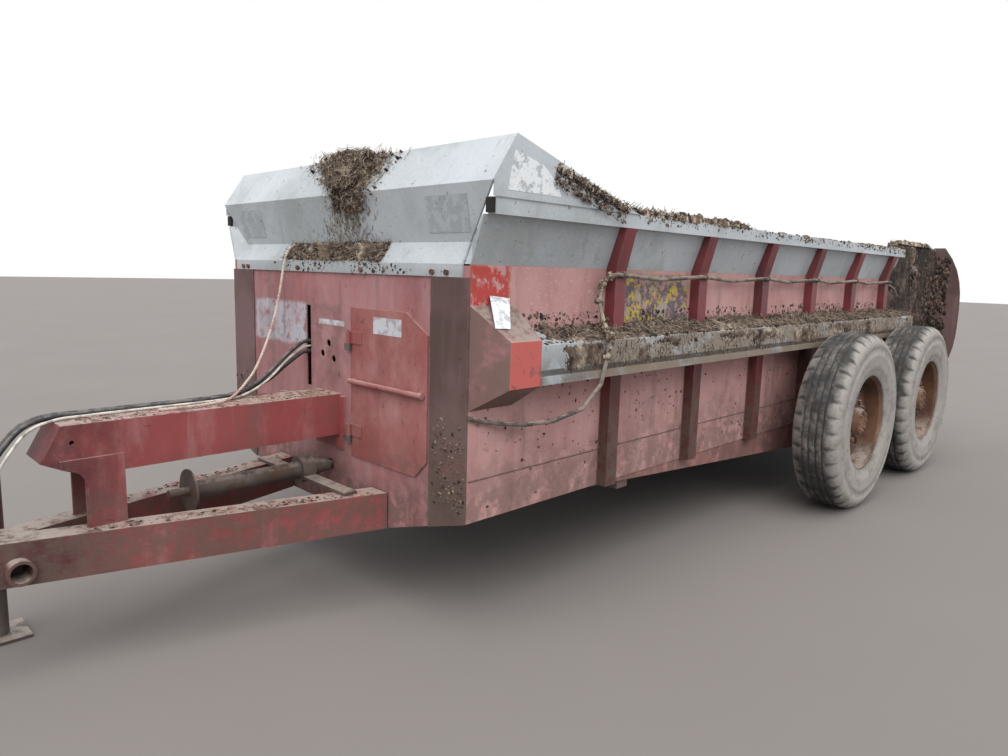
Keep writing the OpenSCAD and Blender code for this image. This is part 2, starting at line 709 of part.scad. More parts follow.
lower_x = wall_rear_x - lower_beater_past;
upper_x = wall_rear_x - upper_beater_past;
shaft_half_l = wall_y + 52;
module housing_sides() color(rib_red) both_sides() difference() {
    along_y([
        [wall_rear_x - seat, wall_bottom_z + 40], [wall_rear_x - seat, lip_z + top_rail_h],
        [wall_rear_x - 100, housing_top_z], [rear_x + 180, housing_top_z],
        [rear_x + 8 + seat, housing_top_z - 90], [rear_x + 8 + seat, wall_bottom_z + 200],
        [rear_x + 200, wall_bottom_z + 40]],
        wall_y - housing_t, housing_t);
    rod_y(lower_x, lower_beater_z, wall_y - housing_t - 1, housing_t + 2, beater_shaft_r + 8);
    rod_y(upper_x, upper_beater_z, wall_y - housing_t - 1, housing_t + 2, beater_shaft_r + 8);
}

// Outward flanges at the rear edge, with the rounded outline that shows from in front
function flange_y(z) = wall_y + flange_out
    - flange_round * pow(abs(z - flange_mid_z) / (housing_top_z - flange_mid_z), 3);
flange_low_z = wall_bottom_z + flange_foot;
module rear_flanges() color(brown) both_sides()
    along_x(concat(
        [[wall_y - housing_t, flange_low_z - 30]],
        [for (i = [0:10]) let (z = flange_low_z + (housing_top_z - flange_low_z) * i / 10) [flange_y(z), z]],
        [[wall_y - housing_t, housing_top_z]]),
        rear_x, 8);

module rear_ties() color(brown) {
    rod_y(rear_x + tie_ahead - 50, housing_top_z - 60, -inner_y, 2 * inner_y, 28);
    translate([rear_x + tie_ahead - 80, -inner_y, apron_z - slat_out]) cube([80, 2 * inner_y, 60]);
}

// Flanged bearings on the outer faces of the housing, two at each shaft
module bearings() color("#4a4a4a") both_sides()
    for (at = [[lower_x, lower_beater_z], [upper_x, upper_beater_z]]) difference() {
        union() {
            translate([at[0] - 62, wall_y + seat, at[1] - 62]) cube([124, 14, 124]);
            rod_y(at[0], at[1], wall_y + seat, 40, 50);
        }
        rod_y(at[0], at[1], wall_y - 1, 60, beater_shaft_r + 0.5);
    }

// A beater is a tube with flat paddles on a right and a left hand spiral that meet in the middle
module beater(x, z, tube_r, tip_r) translate([x, 0, z]) {
    rod_y(0, 0, -shaft_half_l, 2 * shaft_half_l, beater_shaft_r);
    rod_y(0, 0, -inner_y + 8, 2 * (inner_y - 8), tube_r);
    pitch = 2 * (inner_y - 70) / (paddle_count - 1);
    for (i = [0:paddle_count - 1])
        translate([0, -inner_y + 70 + i * pitch, 0])
            rotate([0, 75 * (i < paddle_count / 2 ? i : paddle_count - 1 - i), 0])
                paddle(tube_r, tip_r, i < paddle_count / 2 ? 28 : -28);
}

module paddle(tube_r, tip_r, lean)
    rotate([0, 0, lean]) translate([0, 5, 0]) rotate([90, 0, 0]) linear_extrude(10) polygon([
        [-55, tube_r - 14], [55, tube_r - 14], [48, tip_r - 34], [30, tip_r - 6], [-22, tip_r - 6], [-38, tip_r - 26]]);

module lower_beater() color(rib_red) beater(lower_x, lower_beater_z, 105, lower_beater_r);
module upper_beater() color(rib_red) beater(upper_x, upper_beater_z, 70, upper_beater_r);

gear_x = rear_x + gear_ahead;
gear_out_z = 566;
module gearbox() color("#39424a") difference() {
    union() {
        translate([gear_x - gear_l / 2, -gear_w / 2, gear_low_z]) cube([gear_l, gear_w, gear_h]);
        translate([gear_x - gear_l / 2 + 20, -rail_y + rail_w + seat, gear_low_z - 15])
            cube([gear_l - 40, 2 * (rail_y - rail_w - seat), 16]);
        rod_y(gear_x, gear_out_z, -inner_y, inner_y, 28);
    }
    rod_x(0, drive_z, gear_x + gear_l / 2 - 60, 61, line_shaft_r + 0.5);
}

// Outline round a list of discs given as x, z and radius, joined by their outer tangents
module belt_outline(discs, inset) {
    for (d = discs) translate([d[0], d[1]]) circle(d[2] - inset, $fn = round_fn);
    for (i = [0:len(discs) - 2]) {
        a = discs[i];
        b = discs[i + 1];
        along = [b[0] - a[0], b[1] - a[1]];
        lean = asin((a[2] - b[2]) / norm(along));
        dir = atan2(along[1], along[0]);
        left = [cos(dir + 90 - lean), sin(dir + 90 - lean)];
        right = [cos(dir - 90 + lean), sin(dir - 90 + lean)];
        polygon([
            [a[0], a[1]] + (a[2] - inset) * left, [a[0], a[1]] + (a[2] - inset) * right,
            [b[0], b[1]] + (b[2] - inset) * right, [b[0], b[1]] + (b[2] - inset) * left]);
    }
}

guard_discs = [[gear_x, gear_out_z, 105], [lower_x, lower_beater_z, 150], [upper_x, upper_beater_z, 125]];
module chain_guard() color(rib_red) difference() {
    translate([0, -wall_y - seat, 0]) rotate([90, 0, 0]) linear_extrude(guard_d) belt_outline(guard_discs, 0);
    translate([0, -wall_y - seat + 1, 0]) rotate([90, 0, 0])
        linear_extrude(guard_d - guard_t + 1) belt_outline(guard_discs, guard_t);
}

module shaft_bracket() color("#3a3a3a") difference() {
    union() {
        translate([front_x + 100, -tongue_out(100) + 40, tongue_top_z + seat])
            cube([60, 2 * tongue_out(100) - 80, 14]);
        rod_x(0, drive_z, front_x + 100, 60, drive_tube_r + 22);
    }
    rod_x(0, drive_z, front_x + 99, 62, drive_tube_r + 0.5);
}

// Input tube, yoke, ring and line shaft turn together on one axis
module driveline() color(steel) {
    rod_x(0, drive_z, front_x + 60, drive_reach - 60, drive_tube_r);
    rod_x(0, drive_z, front_x + 12, 60, 30);
    rod_x(0, drive_z, front_x + drive_reach - 1, 7, ring_r);
    rod_x(0, drive_z, front_x + drive_reach, 80, 17.5);
    shaft_end_x = gear_x + gear_l / 2 - 50;
    rod_x(0, drive_z, shaft_end_x, front_x + 20 - shaft_end_x, line_shaft_r);
}

hinge_r = 11;
hinge_x = panel_x + seat + door_t + hinge_r + 0.7;
hinge_y = door_y + 1;
leaf_t = 6;
hinge_zs = [door_z + 90, door_z + door_h - 150];
module door() color(dull_red) difference() {
    union() {
        translate([panel_x + seat, 0, 0]) rotate([90, 0, 90]) linear_extrude(door_t) door_outline();
        for (z = hinge_zs) {
            translate([hinge_x, hinge_y, z]) cylinder(r = hinge_r, h = 50, $fn = round_fn);
            translate([panel_x + seat + door_t - 1, hinge_y + 1, z]) cube([leaf_t, 80, 50]);
        }
        rod_y(panel_x + door_t + 16, door_z + 326, door_y + 10, door_w - 20, 11);
        for (y = [door_y + 20, door_y + door_w - 50])
            translate([panel_x + door_t - 1, y, door_z + 316]) cube([16, 24, 20]);
    }
    for (z = hinge_zs)
        translate([hinge_x, hinge_y, z - 1]) cylinder(r = 5.5, h = 52, $fn = round_fn);
}

module door_hinges() color(steel) for (z = hinge_zs) {
    translate([hinge_x, hinge_y, z - 5]) cylinder(r = 5, h = 60, $fn = round_fn);
    translate([hinge_x, hinge_y, z - 30.5]) cylinder(r = hinge_r, h = 30, $fn = round_fn);
    translate([panel_x + seat, door_y - 30, z - 30.5]) cube([hinge_x - panel_x - seat, 25, 30]);
}

jack_low_z = 200;
module jack_tube() color(rib_red) difference() {
    union() {
        translate([jack_pos_x, -jack_y, jack_low_z])
            cylinder(r = jack_r, h = jack_top_z - jack_low_z, $fn = round_fn);
        rod_y(jack_pos_x, jack_z, -jack_y + 10, jack_y - 10 - sleeve_wall_t / 2 - 15, jack_pin_r);
        rod_y(jack_pos_x, jack_z, -jack_y + 20, jack_y - 20 - sleeve_half_l - 2 * seat, jack_sleeve_r);
        rod_x(-jack_y, jack_top_z - 40, jack_pos_x, 130, 8);
        translate([jack_pos_x + 124, -jack_y, jack_top_z - 48]) cylinder(r = 10, h = 80, $fn = round_fn);
    }
    translate([jack_pos_x, -jack_y, jack_low_z - 1])
        cylinder(r = jack_r - 6.5, h = jack_top_z - jack_low_z - 20, $fn = round_fn);
}

module jack_leg() color(steel) {
    translate([jack_pos_x, -jack_y, 0]) cylinder(r = jack_r - 7, h = 430, $fn = round_fn);
    translate([jack_pos_x - foot_w / 2, -jack_y - foot_w / 2, 0]) cube([foot_w, foot_w, 12]);
}

// The side hose leaves the front corner, climbs over the ledge, is clipped to each rib and drops behind
// the ledge to the motor. Its start is a table of distances behind the panel and out from the wall,
// with the height above the ground.
side_start = [
    [5, 9, 862], [65, 15, 845], [145, 28, 828], [245, 53, 815], [365, 93, 820], [495, 133, 860],
    [575, 155, 950], [605, 159, 1060], [620, 155, 1140], [645, 103, 1190], [675, 53, 1270],
    [715, 33, 1340], [755, 45, 1374]];
clip_y = wall_y + rib_d + hose_r + 0.5;
clip_z = seam_z - 22;
hang_y = wall_y + hose_r + 12;
drop_x = wall_rear_x - ledge_past - hose_r - 16;
motor_top_z = apron_z + 80;
side_route = concat(
    [for (p = side_start) [front_x - p[0], wall_y + p[1], p[2]]],
    [for (i = [0:rib_count - 1], k = [0:2])
        k == 0 ? [rib_xs[i] + rib_w / 2, clip_y, clip_z] :
        k == 1 ? [rib_xs[i] - rib_w / 2 - 10, clip_y, clip_z - 4] :
        [rib_xs[i] - (i < rib_count - 1 ? rib_pitch : rib_last) / 2, hang_y, clip_z - 18]],
    [[wall_rear_x - 60, hang_y, 1330], [drop_x + 15, hang_y, 1240], [drop_x, hang_y, 1120],
     [drop_x, hang_y, 920], [drop_x + 8, hang_y + 8, 800], [apron_rear_x, hang_y + 16, motor_top_z + 60],
     [apron_rear_x, hang_y + 16, motor_top_z + seat]]);
module side_hoses() color(black) hose(side_route, hose_r, 1);

// Routes of the free hoses, the cable and the rope, chosen by hand
module cord(route, radius) hose(route, radius, 2);
hose_one_route = [
    [1930, -178, 1045], [1975, -178, 1038], [2060, -165, 985], [2180, -130, 905], [2300, -85, 860],
    [2420, -60, 848], [2700, -52, 847.5], [2900, -45, 847.5], [3010, -35, 848], [3095, -15, 826],
    [3160, 5, 765], [3215, 22, 690], [3285, 34, 605], [3365, 41, 530], [3440, 42, 474], [3490, 42, 459.8],
    [3540, 42, 459.8]];
hose_two_route = [
    [1930, -178, 1000], [1975, -178, 992], [2055, -172, 945], [2160, -150, 885], [2290, -112, 856],
    [2420, -80, 848], [2700, -74, 847.5], [2900, -70, 847.5], [3010, -62, 848], [3090, -52, 828],
    [3150, -46, 770], [3200, -44, 700], [3265, -44, 615], [3345, -44, 535], [3430, -44, 476],
    [3490, -44, 459.8], [3540, -44, 459.8]];
cable_route = [
    [1930, -176, 1022], [1975, -176, 1015], [2060, -158, 965], [2170, -120, 893], [2300, -58, 853],
    [2420, -34, 843.8], [2700, -27, 843.8], [2900, -18, 843.8], [3005, 5, 844], [3090, 30, 820],
    [3150, 45, 755], [3200, 54, 680], [3265, 59, 595], [3340, 60, 525], [3425, 60, 470], [3480, 60, 455.8],
    [3530, 60, 455.8]];
rope_route = [
    [1905, -345, 1477], [1935, -345, 1454], [1962, -342, 1400], [1990, -325, 1300], [2030, -300, 1180],
    [2085, -262, 1075], [2150, -210, 990], [2215, -155, 928], [2275, -104, 894], [2330, -56, 869],
    [2385, -16, 850], [2440, 12, 845], [2520, 30, 844.8], [2600, 36, 844.8], [2680, 30, 844.8]];
module hose_one() color(black) cord(hose_one_route, hose_r);
module hose_two() color(black) cord(hose_two_route, hose_r);
module cable() color(pale) cord(cable_route, cable_r);
module rope() color("#c9a184") cord(rope_route, rope_r);

// Two hose couplers and the cable's plug, lying on the upper hitch plate, given as the route's end and radius
cord_tips = [[[3540, 42, 459.8], 9.5], [[3540, -44, 459.8], 9.5], [[3530, 60, 455.8], 5.5]];
cord_gap = 0.4;
module cord_ends() color("#8c8c8c") for (tip = cord_tips) {
    rod_x(tip[0][1], tip[0][2], tip[0][0] + cord_gap, 26 - cord_gap, tip[1]);
    rod_x(tip[0][1], tip[0][2], tip[0][0] + 25, 30, tip[1] * 0.7);
}

front_panel();
corner_posts();
bulkhead();
side_walls();
flares();
top_rails();
front_flare();
ribs();
ledges();
ledge_noses();
floor();
floor_beams();
apron();
apron_shafts();
apron_motor();
main_rails();
cross_beams();
sills();
tongue_rails();
tongue_beam();
hitch();
pivot_axle();
walking_beams();
housing_sides();
rear_flanges();
rear_ties();
bearings();
gearbox();
chain_guard();
shaft_bracket();
side_hoses();
driveline();
lower_beater();
upper_beater();
door_hinges();
door();
jack_tube();
jack_leg();
tyre(1, 1);  // tyre_front_left
wheel(1, 1);  // wheel_front_left
tyre(1, -1);  // tyre_front_right
wheel(1, -1);  // wheel_front_right
tyre(-1, 1);  // tyre_rear_left
wheel(-1, 1);  // wheel_rear_left
tyre(-1, -1);  // tyre_rear_right
wheel(-1, -1);  // wheel_rear_right
hose_one();
hose_two();
cable();
rope();
cord_ends();
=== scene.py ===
"""Looks of a parked manure spreader: its finishes, cords, tyres, muck, straw and small fittings."""
import json
import math

import bpy
import numpy as np
from mathutils import Matrix, Vector


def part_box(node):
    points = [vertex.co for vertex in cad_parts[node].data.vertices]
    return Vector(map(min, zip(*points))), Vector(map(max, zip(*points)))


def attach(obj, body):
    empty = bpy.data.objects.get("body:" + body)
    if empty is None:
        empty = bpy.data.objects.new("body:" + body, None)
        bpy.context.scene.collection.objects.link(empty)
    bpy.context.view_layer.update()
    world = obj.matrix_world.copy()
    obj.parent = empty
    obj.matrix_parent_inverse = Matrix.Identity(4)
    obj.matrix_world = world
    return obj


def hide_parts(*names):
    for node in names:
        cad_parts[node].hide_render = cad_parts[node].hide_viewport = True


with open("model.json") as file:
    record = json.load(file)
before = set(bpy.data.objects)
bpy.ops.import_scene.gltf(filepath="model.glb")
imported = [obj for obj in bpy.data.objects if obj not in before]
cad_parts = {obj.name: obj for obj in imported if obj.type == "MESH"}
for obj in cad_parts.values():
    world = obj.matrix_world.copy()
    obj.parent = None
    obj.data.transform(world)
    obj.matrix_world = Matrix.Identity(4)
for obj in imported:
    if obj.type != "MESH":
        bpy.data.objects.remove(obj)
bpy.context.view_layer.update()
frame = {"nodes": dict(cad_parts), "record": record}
nodes = frame["nodes"]

# Places taken from the frame, in metres
wall_low, wall_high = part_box("side_walls")
ledge_low, ledge_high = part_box("ledges")
shield_high, rail_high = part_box("front_flare")[1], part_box("top_rails")[1]
front_x, shield_y, shield_top_z = shield_high
wall_rear_x, wall_y = wall_low.x, wall_high.y
wall_low_z, seam_z = wall_low.z, wall_high.z
rear_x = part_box("rear_flanges")[0].x
ledge_low_x, ledge_high_x, ledge_y = ledge_low.x, ledge_high.x, ledge_high.y
ledge_low_z, ledge_top_z = ledge_low.z, ledge_high.z
panel_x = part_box("front_panel")[1].x
beam_top_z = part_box("tongue_beam")[1].z
rail_front_x, rail_y, rail_top_z = rail_high
housing_top_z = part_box("housing_sides")[1].z
floor_top_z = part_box("floor")[1].z
beater_places = [(-3.135, 0.930), (-3.055, 1.462)]
rib_count, rib_half = 6, 0.0375
SIDES = {"left": 1, "right": -1}
FORWARD, UP = (1, 0, 0), (0, 0, 1)


# Camera, at the photograph's place, aim, roll and field of view
camera_place = Vector((3.6428, 2.7381, 1.3828))
camera_aim = Vector((0.8132, -0.0273, 0.7941))
camera_roll = math.radians(1.596)
camera_lens = 25.66


def put(name, data):
    """A new object with this data, in the scene."""
    made = bpy.data.objects.new(name, data)
    bpy.context.scene.collection.objects.link(made)
    return made


def add_camera():
    data = bpy.data.cameras.new("camera")
    data.lens = camera_lens
    data.sensor_width = 36
    data.clip_end = 200
    camera = put("camera", data)
    turn = (camera_aim - camera_place).to_track_quat("-Z", "Y").to_matrix().to_4x4()
    camera.matrix_world = Matrix.Translation(camera_place) @ turn @ Matrix.Rotation(camera_roll, 4, "Z")
    bpy.context.scene.camera = camera


# Meshes


def add_piece(name, points, faces, look, body="root", slot=None, sharp_angle=40):
    """A mesh piece that rides on a body, with its finish. Its slot argument is not used."""
    mesh = bpy.data.meshes.new(name)
    mesh.from_pydata([tuple(p) for p in points], [], faces)
    mesh.update()
    return finish_piece(name, mesh, look, body, sharp_angle)


def add_triangles(name, points, triangles, look, body="root", tone=None, smooth=True):
    """The same for large arrays of points and triangles, with an optional tone for each point."""
    mesh = bpy.data.meshes.new(name)
    mesh.vertices.add(len(points))
    mesh.vertices.foreach_set("co", np.asarray(points, dtype=np.float32).ravel())
    mesh.loops.add(3 * len(triangles))
    mesh.loops.foreach_set("vertex_index", np.asarray(triangles, dtype=np.int32).ravel())
    mesh.polygons.add(len(triangles))
    mesh.polygons.foreach_set("loop_start", np.arange(0, 3 * len(triangles), 3, dtype=np.int32))
    mesh.update(calc_edges=True)
    if tone is not None:
        layer = mesh.attributes.new("tone", "FLOAT", "POINT")
        layer.data.foreach_set("value", np.asarray(tone, dtype=np.float32))
    return finish_piece(name, mesh, look, body, 60 if smooth else 0)


def finish_piece(name, mesh, look, body, sharp_angle):
    if sharp_angle:
        mesh.shade_smooth()
        mesh.set_sharp_from_angle(angle=math.radians(sharp_angle))
    mesh.materials.append(look)
    made = put(name, mesh)
    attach(made, body)
    return made


def smooth_route(points, steps):
    """Catmull-Rom curve through the points, with steps pieces between two of them."""
    points = [Vector(p) for p in points]
    found = []
    for i in range(len(points) - 1):
        a, b = points[max(i - 1, 0)], points[i]
        c, d = points[i + 1], points[min(i + 2, len(points) - 1)]
        for s in range(steps):
            u = s / steps
            found.append(0.5 * (2 * b + (c - a) * u + (2 * a - 5 * b + 4 * c - d) * u * u
                                + (3 * b - a - 3 * c + d) * u * u * u))
    return found + [points[-1]]


def route_frames(path):
    """Heading and two sideways directions for each point of a route, carried along without twist."""
    frames = []
    side = Vector((0.13, 0.21, 0.97))
    for i in range(len(path)):
        heading = (path[min(i + 1, len(path) - 1)] - path[max(i - 1, 0)]).normalized()
        side = (side - side.dot(heading) * heading).normalized()
        frames.append((heading, side, heading.cross(side)))
    return frames


def tube_parts(path, radius, sides):
    """Points and faces of a closed tube. Its radius is a length or a function of the point's number."""
    radius_at = radius if callable(radius) else lambda i: radius
    points, faces = [], []
    for i, (place, (_, across, over)) in enumerate(zip(path, route_frames(path))):
        for j in range(sides):
            turn = 2 * math.pi * j / sides
            points.append(place + radius_at(i) * (math.cos(turn) * across + math.sin(turn) * over))
    for i in range(len(path) - 1):
        for j in range(sides):
            a, b = i * sides + j, i * sides + (j + 1) % sides
            faces.append((a, b, b + sides, a + sides))
    faces.append(tuple(reversed(range(sides))))
    faces.append(tuple(range((len(path) - 1) * sides, len(path) * sides)))
    return points, faces


def join_parts(parts):
    """Points and faces of several (points, faces) parts whose faces count from nought."""
    points, faces = [], []
    for some_points, some_faces in parts:
        start = len(points)
        points += some_points
        faces += [tuple(start + k for k in face) for face in some_faces]
    return points, faces


# Materials


def colour(code):
    """A colour as the shader takes it, from its six hexadecimal digits."""
    parts = [int(code[i:i + 2], 16) / 255 for i in (1, 3, 5)]
    return (*[p / 12.92 if p <= 0.04045 else ((p + 0.055) / 1.055) ** 2.4 for p in parts], 1.0)


class Shading:
    """A tree of shader nodes, with a short call for each common kind."""

    def __init__(self, tree):
        self.tree = tree

    def node(self, kind, inputs=None, **settings):
        made = self.tree.nodes.new("ShaderNode" + kind)
        for name, value in settings.items():
            setattr(made, name, value)
        for name, value in (inputs or {}).items():
            self.feed(made.inputs[name], value)
        return made

    def feed(self, socket, value):
        if isinstance(value, bpy.types.NodeSocket):
            self.tree.links.new(value, socket)
        else:
            socket.default_value = value

    def value(self, kind, inputs, **settings):
        """The first output of a new node."""
        return self.node(kind, inputs, **settings).outputs[0]

    def math(self, operation, a, b=0.0):
        return self.value("Math", {0: a, 1: b}, operation=operation)

    def most(self, a, b):
        return self.math("MAXIMUM", a, b)


class Look(Shading):
    """A material, with the calls that the looks below use."""

    def __init__(self, name):
        self.material = bpy.data.materials.new(name)
        self.material.use_nodes = True
        super().__init__(self.material.node_tree)
        self.shader = self.tree.nodes["Principled BSDF"]
        coordinates = self.node("TexCoord")
        self.place = coordinates.outputs["Object"]
        self.x, self.y, self.z = self.node("SeparateXYZ", {"Vector": self.place}).outputs
        self.up = self.node("SeparateXYZ", {"Vector": coordinates.outputs["Normal"]}).outputs[2]
        self.paint = None
        self.relief = []

    def stretched(self, stretch, shift=0.0):
        return self.value("Mapping", {"Vector": self.place, "Scale": stretch, "Location": (shift,) * 3})

    def noise(self, scale, stretch=(1, 1, 1), detail=4, rough=0.55, shift=0.0):
        return self.value("TexNoise", {"Vector": self.stretched(stretch, shift), "Scale": scale,
                                       "Detail": detail, "Roughness": rough})

    def cells(self, scale, stretch=(1, 1, 1), feature="F1"):
        return self.value("TexVoronoi", {"Vector": self.stretched(stretch), "Scale": scale}, feature=feature)

    def times(self, *values):
        found = values[0]
        for value in values[1:]:
            found = self.math("MULTIPLY", found, value)
        return found

    def plus(self, a, b):
        return self.math("ADD", a, b)

    def band(self, value, low, high, to_low=0.0, to_high=1.0):
        """0 below low, 1 above high and smooth between. Low may be above high."""
        return self.value("MapRange", {"Value": value, "From Min": low, "From Max": high, "To Min": to_low,
                                       "To Max": to_high}, interpolation_type="SMOOTHSTEP")

    def cloud(self, scale, low, high, ends=(0.0, 1.0), detail=7, rough=0.7, **place):
        """Mask in blots: a noise cut by band, with ends for its lowest and highest value."""
        return self.band(self.noise(scale, detail=detail, rough=rough, **place), low, high, *ends)

    def swing(self, amount, scale, **kind):
        """A noise about nought, for an uneven border."""
        return self.times(self.plus(self.noise(scale, **kind), -0.5), amount)

    def tone(self):
        """What the mesh stores for each point."""
        return self.node("Attribute", attribute_name="tone").outputs["Fac"]

    def off_middle(self, low, high):
        """Mask by the distance from the machine's middle plane, 0 at low and 1 at high."""
        return self.band(self.math("ABSOLUTE", self.y), low, high)

    def patch(self, soft=0.012, wobble=0.03, wobble_scale=14.0, **ranges):
        """Mask of a box in the frame, with a range for each axis that bounds it, and uneven edges."""
        push = self.swing(wobble * 4, wobble_scale, detail=5, rough=0.65)
        mask = 1.0
        for axis, (low, high) in ranges.items():
            value = self.plus(getattr(self, axis), push)
            above = self.band(value, low - soft, low + soft)
            mask = self.times(mask, above, self.band(value, high + soft, high - soft))
        return mask

    def edges(self, radius=0.008, low=0.02, high=0.25):
        """Mask of the outer edges, for worn paint."""
        rounded = self.value("Bevel", {"Radius": radius}, samples=4)
        flat = self.node("NewGeometry").outputs["Normal"]
        same = self.node("VectorMath", {0: rounded, 1: flat}, operation="DOT_PRODUCT").outputs["Value"]
        return self.band(self.math("SUBTRACT", 1.0, same), low, high)

    def mixed(self, mask, a, b):
        blend = self.node("Mix", data_type="RGBA")
        self.feed(blend.inputs[0], mask)
        self.feed(blend.inputs[6], a)
        self.feed(blend.inputs[7], b)
        return blend.outputs[2]

    def base(self, dark, light, mask):
        self.paint = self.mixed(mask, colour(dark), colour(light))

    def layer(self, code, *masks):
        self.paint = self.mixed(self.times(*masks), self.paint, colour(code))

    def bump(self, height, distance):
        self.relief.append((height, distance))

    def done(self, roughness, metallic=0.0):
        self.feed(self.shader.inputs["Base Color"], self.paint)
        self.feed(self.shader.inputs["Roughness"], roughness)
        self.feed(self.shader.inputs["Metallic"], metallic)
        normal = None
        for height, distance in self.relief:
            made = self.node("Bump", {"Height": height, "Distance": distance, "Strength": 1.0})
            if normal:
                self.feed(made.inputs["Normal"], normal)
            normal = made.outputs[0]
        if normal:
            self.feed(self.shader.inputs["Normal"], normal)
        return self.material


mud = "#5f4f46"
pale_dust = "#a89c92"


def weathering(look, mud_top, mud_amount=0.8, dust=0.5, streaks=0.5, rust=0.5, chips=0.6):
    """Drips, stains, rust, chipped edges, splashed mud and settled dust, over the paint so far."""
    drips = look.cloud(9, 0.52, 0.72, detail=6, stretch=(1, 1, 0.09))
    look.layer("#6d5a52", drips, streaks)
    pale_drips = look.cloud(13, 0.6, 0.78, detail=5, stretch=(1, 1, 0.07), shift=7)
    look.layer("#b79f99", pale_drips, streaks * 0.6)
    stains = look.cloud(3.1, 0.52, 0.7, detail=8, shift=3)
    look.layer("#5b4740", stains, 0.55 * mud_amount)
    rusty = look.cloud(22, 0.60, 0.68, detail=8, rough=0.75, shift=11)
    look.layer("#5a3a2c", rusty, rust)
    bare = look.times(look.edges(), look.cloud(30, 0.4, 0.6, detail=5, rough=0.55, shift=5))
    look.layer("#8f7468", bare, chips)
    wet = look.plus(look.z, look.swing(0.5, 2.4, detail=6, rough=0.65, shift=9))
    splash = look.times(look.band(wet, mud_top, mud_top - 0.25), look.cloud(16, 0.32, 0.58))
    look.layer(mud, splash, mud_amount)
    grime = look.times(look.band(look.up, 0.5, 0.9), look.cloud(18, 0.34, 0.56, detail=6, shift=2))
    look.layer(pale_dust, grime, dust)
    look.bump(look.noise(160, detail=3, rough=0.6), 0.0006)
    look.bump(look.most(rusty, look.times(splash, 0.8)), 0.0012)


def faded_red():
    look = Look("faded_red")
    look.base("#8e5450", "#a9706c", look.cloud(1.3, 0.38, 0.62, detail=5, rough=0.55, shift=1))
    chalk = look.cloud(5.5, 0.46, 0.66, stretch=(1, 1, 0.5))
    look.layer("#b48b87", chalk, 0.6)
    bright = look.patch(x=(front_x - 0.205, front_x), z=(seam_z - 0.17, seam_z), wobble=0.004)
    flaking = look.times(look.patch(x=(1.24, front_x - 0.215), z=(1.16, seam_z), wobble=0.02),
                         look.band(look.cells(34, stretch=(1, 1, 2.2), feature="SMOOTH_F1"), 0.30, 0.12))
    look.layer("#c3a9aa", flaking, 0.7)
    side = look.off_middle(wall_y - 0.006, wall_y - 0.002)
    faint = look.cloud(4.5, 0.3, 0.7, ends=(0.4, 0.75), stretch=(1, 1, 0.4), shift=12)
    look.layer("#cda39f", side, faint)
    look.layer("#b8443e", bright, side, look.cloud(24, 0.62, 0.5, shift=17))
    door_face = look.band(look.x, panel_x + 0.003, panel_x + 0.006)
    look.layer("#8d413e", door_face, look.cloud(3, 0.3, 0.65, shift=19), 0.6)
    worn_yellow(look)
    weathering(look, 0.80, mud_amount=0.6, streaks=0.5, rust=0.6)
    return look.done(roughness=0.78)


def worn_yellow(look):
    """A worn dark band with yellow patches, high on the left side between the first two ribs."""
    left = look.band(look.y, wall_y - 0.006, wall_y - 0.001)
    area = look.patch(x=(0.49, 1.06), z=(1.16, 1.385), wobble=0.012, wobble_scale=9)
    worn = look.cloud(19, 0.40, 0.50, detail=8, rough=0.75, shift=4)
    look.layer("#4d4f5a", left, area, worn, 0.85)
    blocks = look.cloud(13, 0.50, 0.53, detail=4, rough=0.65, shift=21)
    chipped = look.cloud(40, 0.42, 0.52, detail=6, rough=0.75, shift=8)
    look.layer("#c2ab45", left, area, blocks, chipped)
    look.layer("#a99b90", left, area, look.cloud(12, 0.51, 0.58, detail=8, rough=0.75, shift=31))


def red_paint():
    look = Look("red_paint")
    look.base("#7c3537", "#98494a", look.cloud(1.7, 0.36, 0.62, detail=5, rough=0.55, shift=6))
    chalk = look.cloud(7, 0.5, 0.7, stretch=(1, 1, 0.35), shift=1)
    look.layer("#ab7a77", chalk, 0.5)
    panel = look.band(look.x, front_x + 0.004, front_x)
    side = look.off_middle(wall_y - 0.002, wall_y + 0.002)
    faint = look.cloud(6, 0.3, 0.7, ends=(0.25, 0.7), stretch=(1, 1, 0.3), shift=15)
    look.layer("#b58f90", panel, faint)
    outer = look.off_middle(ledge_y - 0.004, ledge_y - 0.001)
    dirty = look.cloud(6, 0.28, 0.5, detail=8, shift=23)
    look.layer("#6f5750", side, dirty, 0.9)
    look.layer("#c2605a", outer, look.cloud(12, 0.3, 0.45, detail=8, shift=24))
    holes = look.patch(x=(1.9, front_x), y=(-0.20, 0.16), z=(0.85, 1.24),
                       soft=0.06, wobble=0.08, wobble_scale=7)
    look.layer("#5f4a45", holes, look.cloud(9, 0.34, 0.56, detail=8, rough=0.75, shift=26), 0.8)
    # Painted shade: the tongue's front end, past x 2.75, is darkened for the shade it lies in.
    hitch_end_shade = look.times(look.band(look.x, 2.75, 3.05), look.cloud(5, 0.3, 0.55, shift=27))
    look.layer("#3f2729", hitch_end_shade, 0.8)
    white = look.patch(x=(1.9, front_x), y=(-0.68, -0.20), z=(1.02, 1.215),
                       wobble=0.02, wobble_scale=11)
    look.layer("#b9b8c0", white, look.cloud(15, 0.36, 0.48, detail=8, rough=0.75, shift=18), 0.9)
    weathering(look, 0.70, mud_amount=0.7, streaks=0.45, rust=0.5, dust=0.8)
    return look.done(roughness=0.66)


def dark_red():
    look = Look("dark_red")
    look.base("#57292e", "#7e393e", look.cloud(2.3, 0.36, 0.62, detail=5, rough=0.55, shift=4))
    low = look.band(look.z, 1.05, 0.95)
    stained = look.cloud(7, 0.3, 0.6, detail=6, rough=0.55, stretch=(1, 1, 0.4), shift=13)
    look.layer("#43231f", low, stained, 0.7)
    weathering(look, 0.92, mud_amount=0.85, streaks=0.4, rust=0.45, dust=0.7)
    return look.done(roughness=0.42)


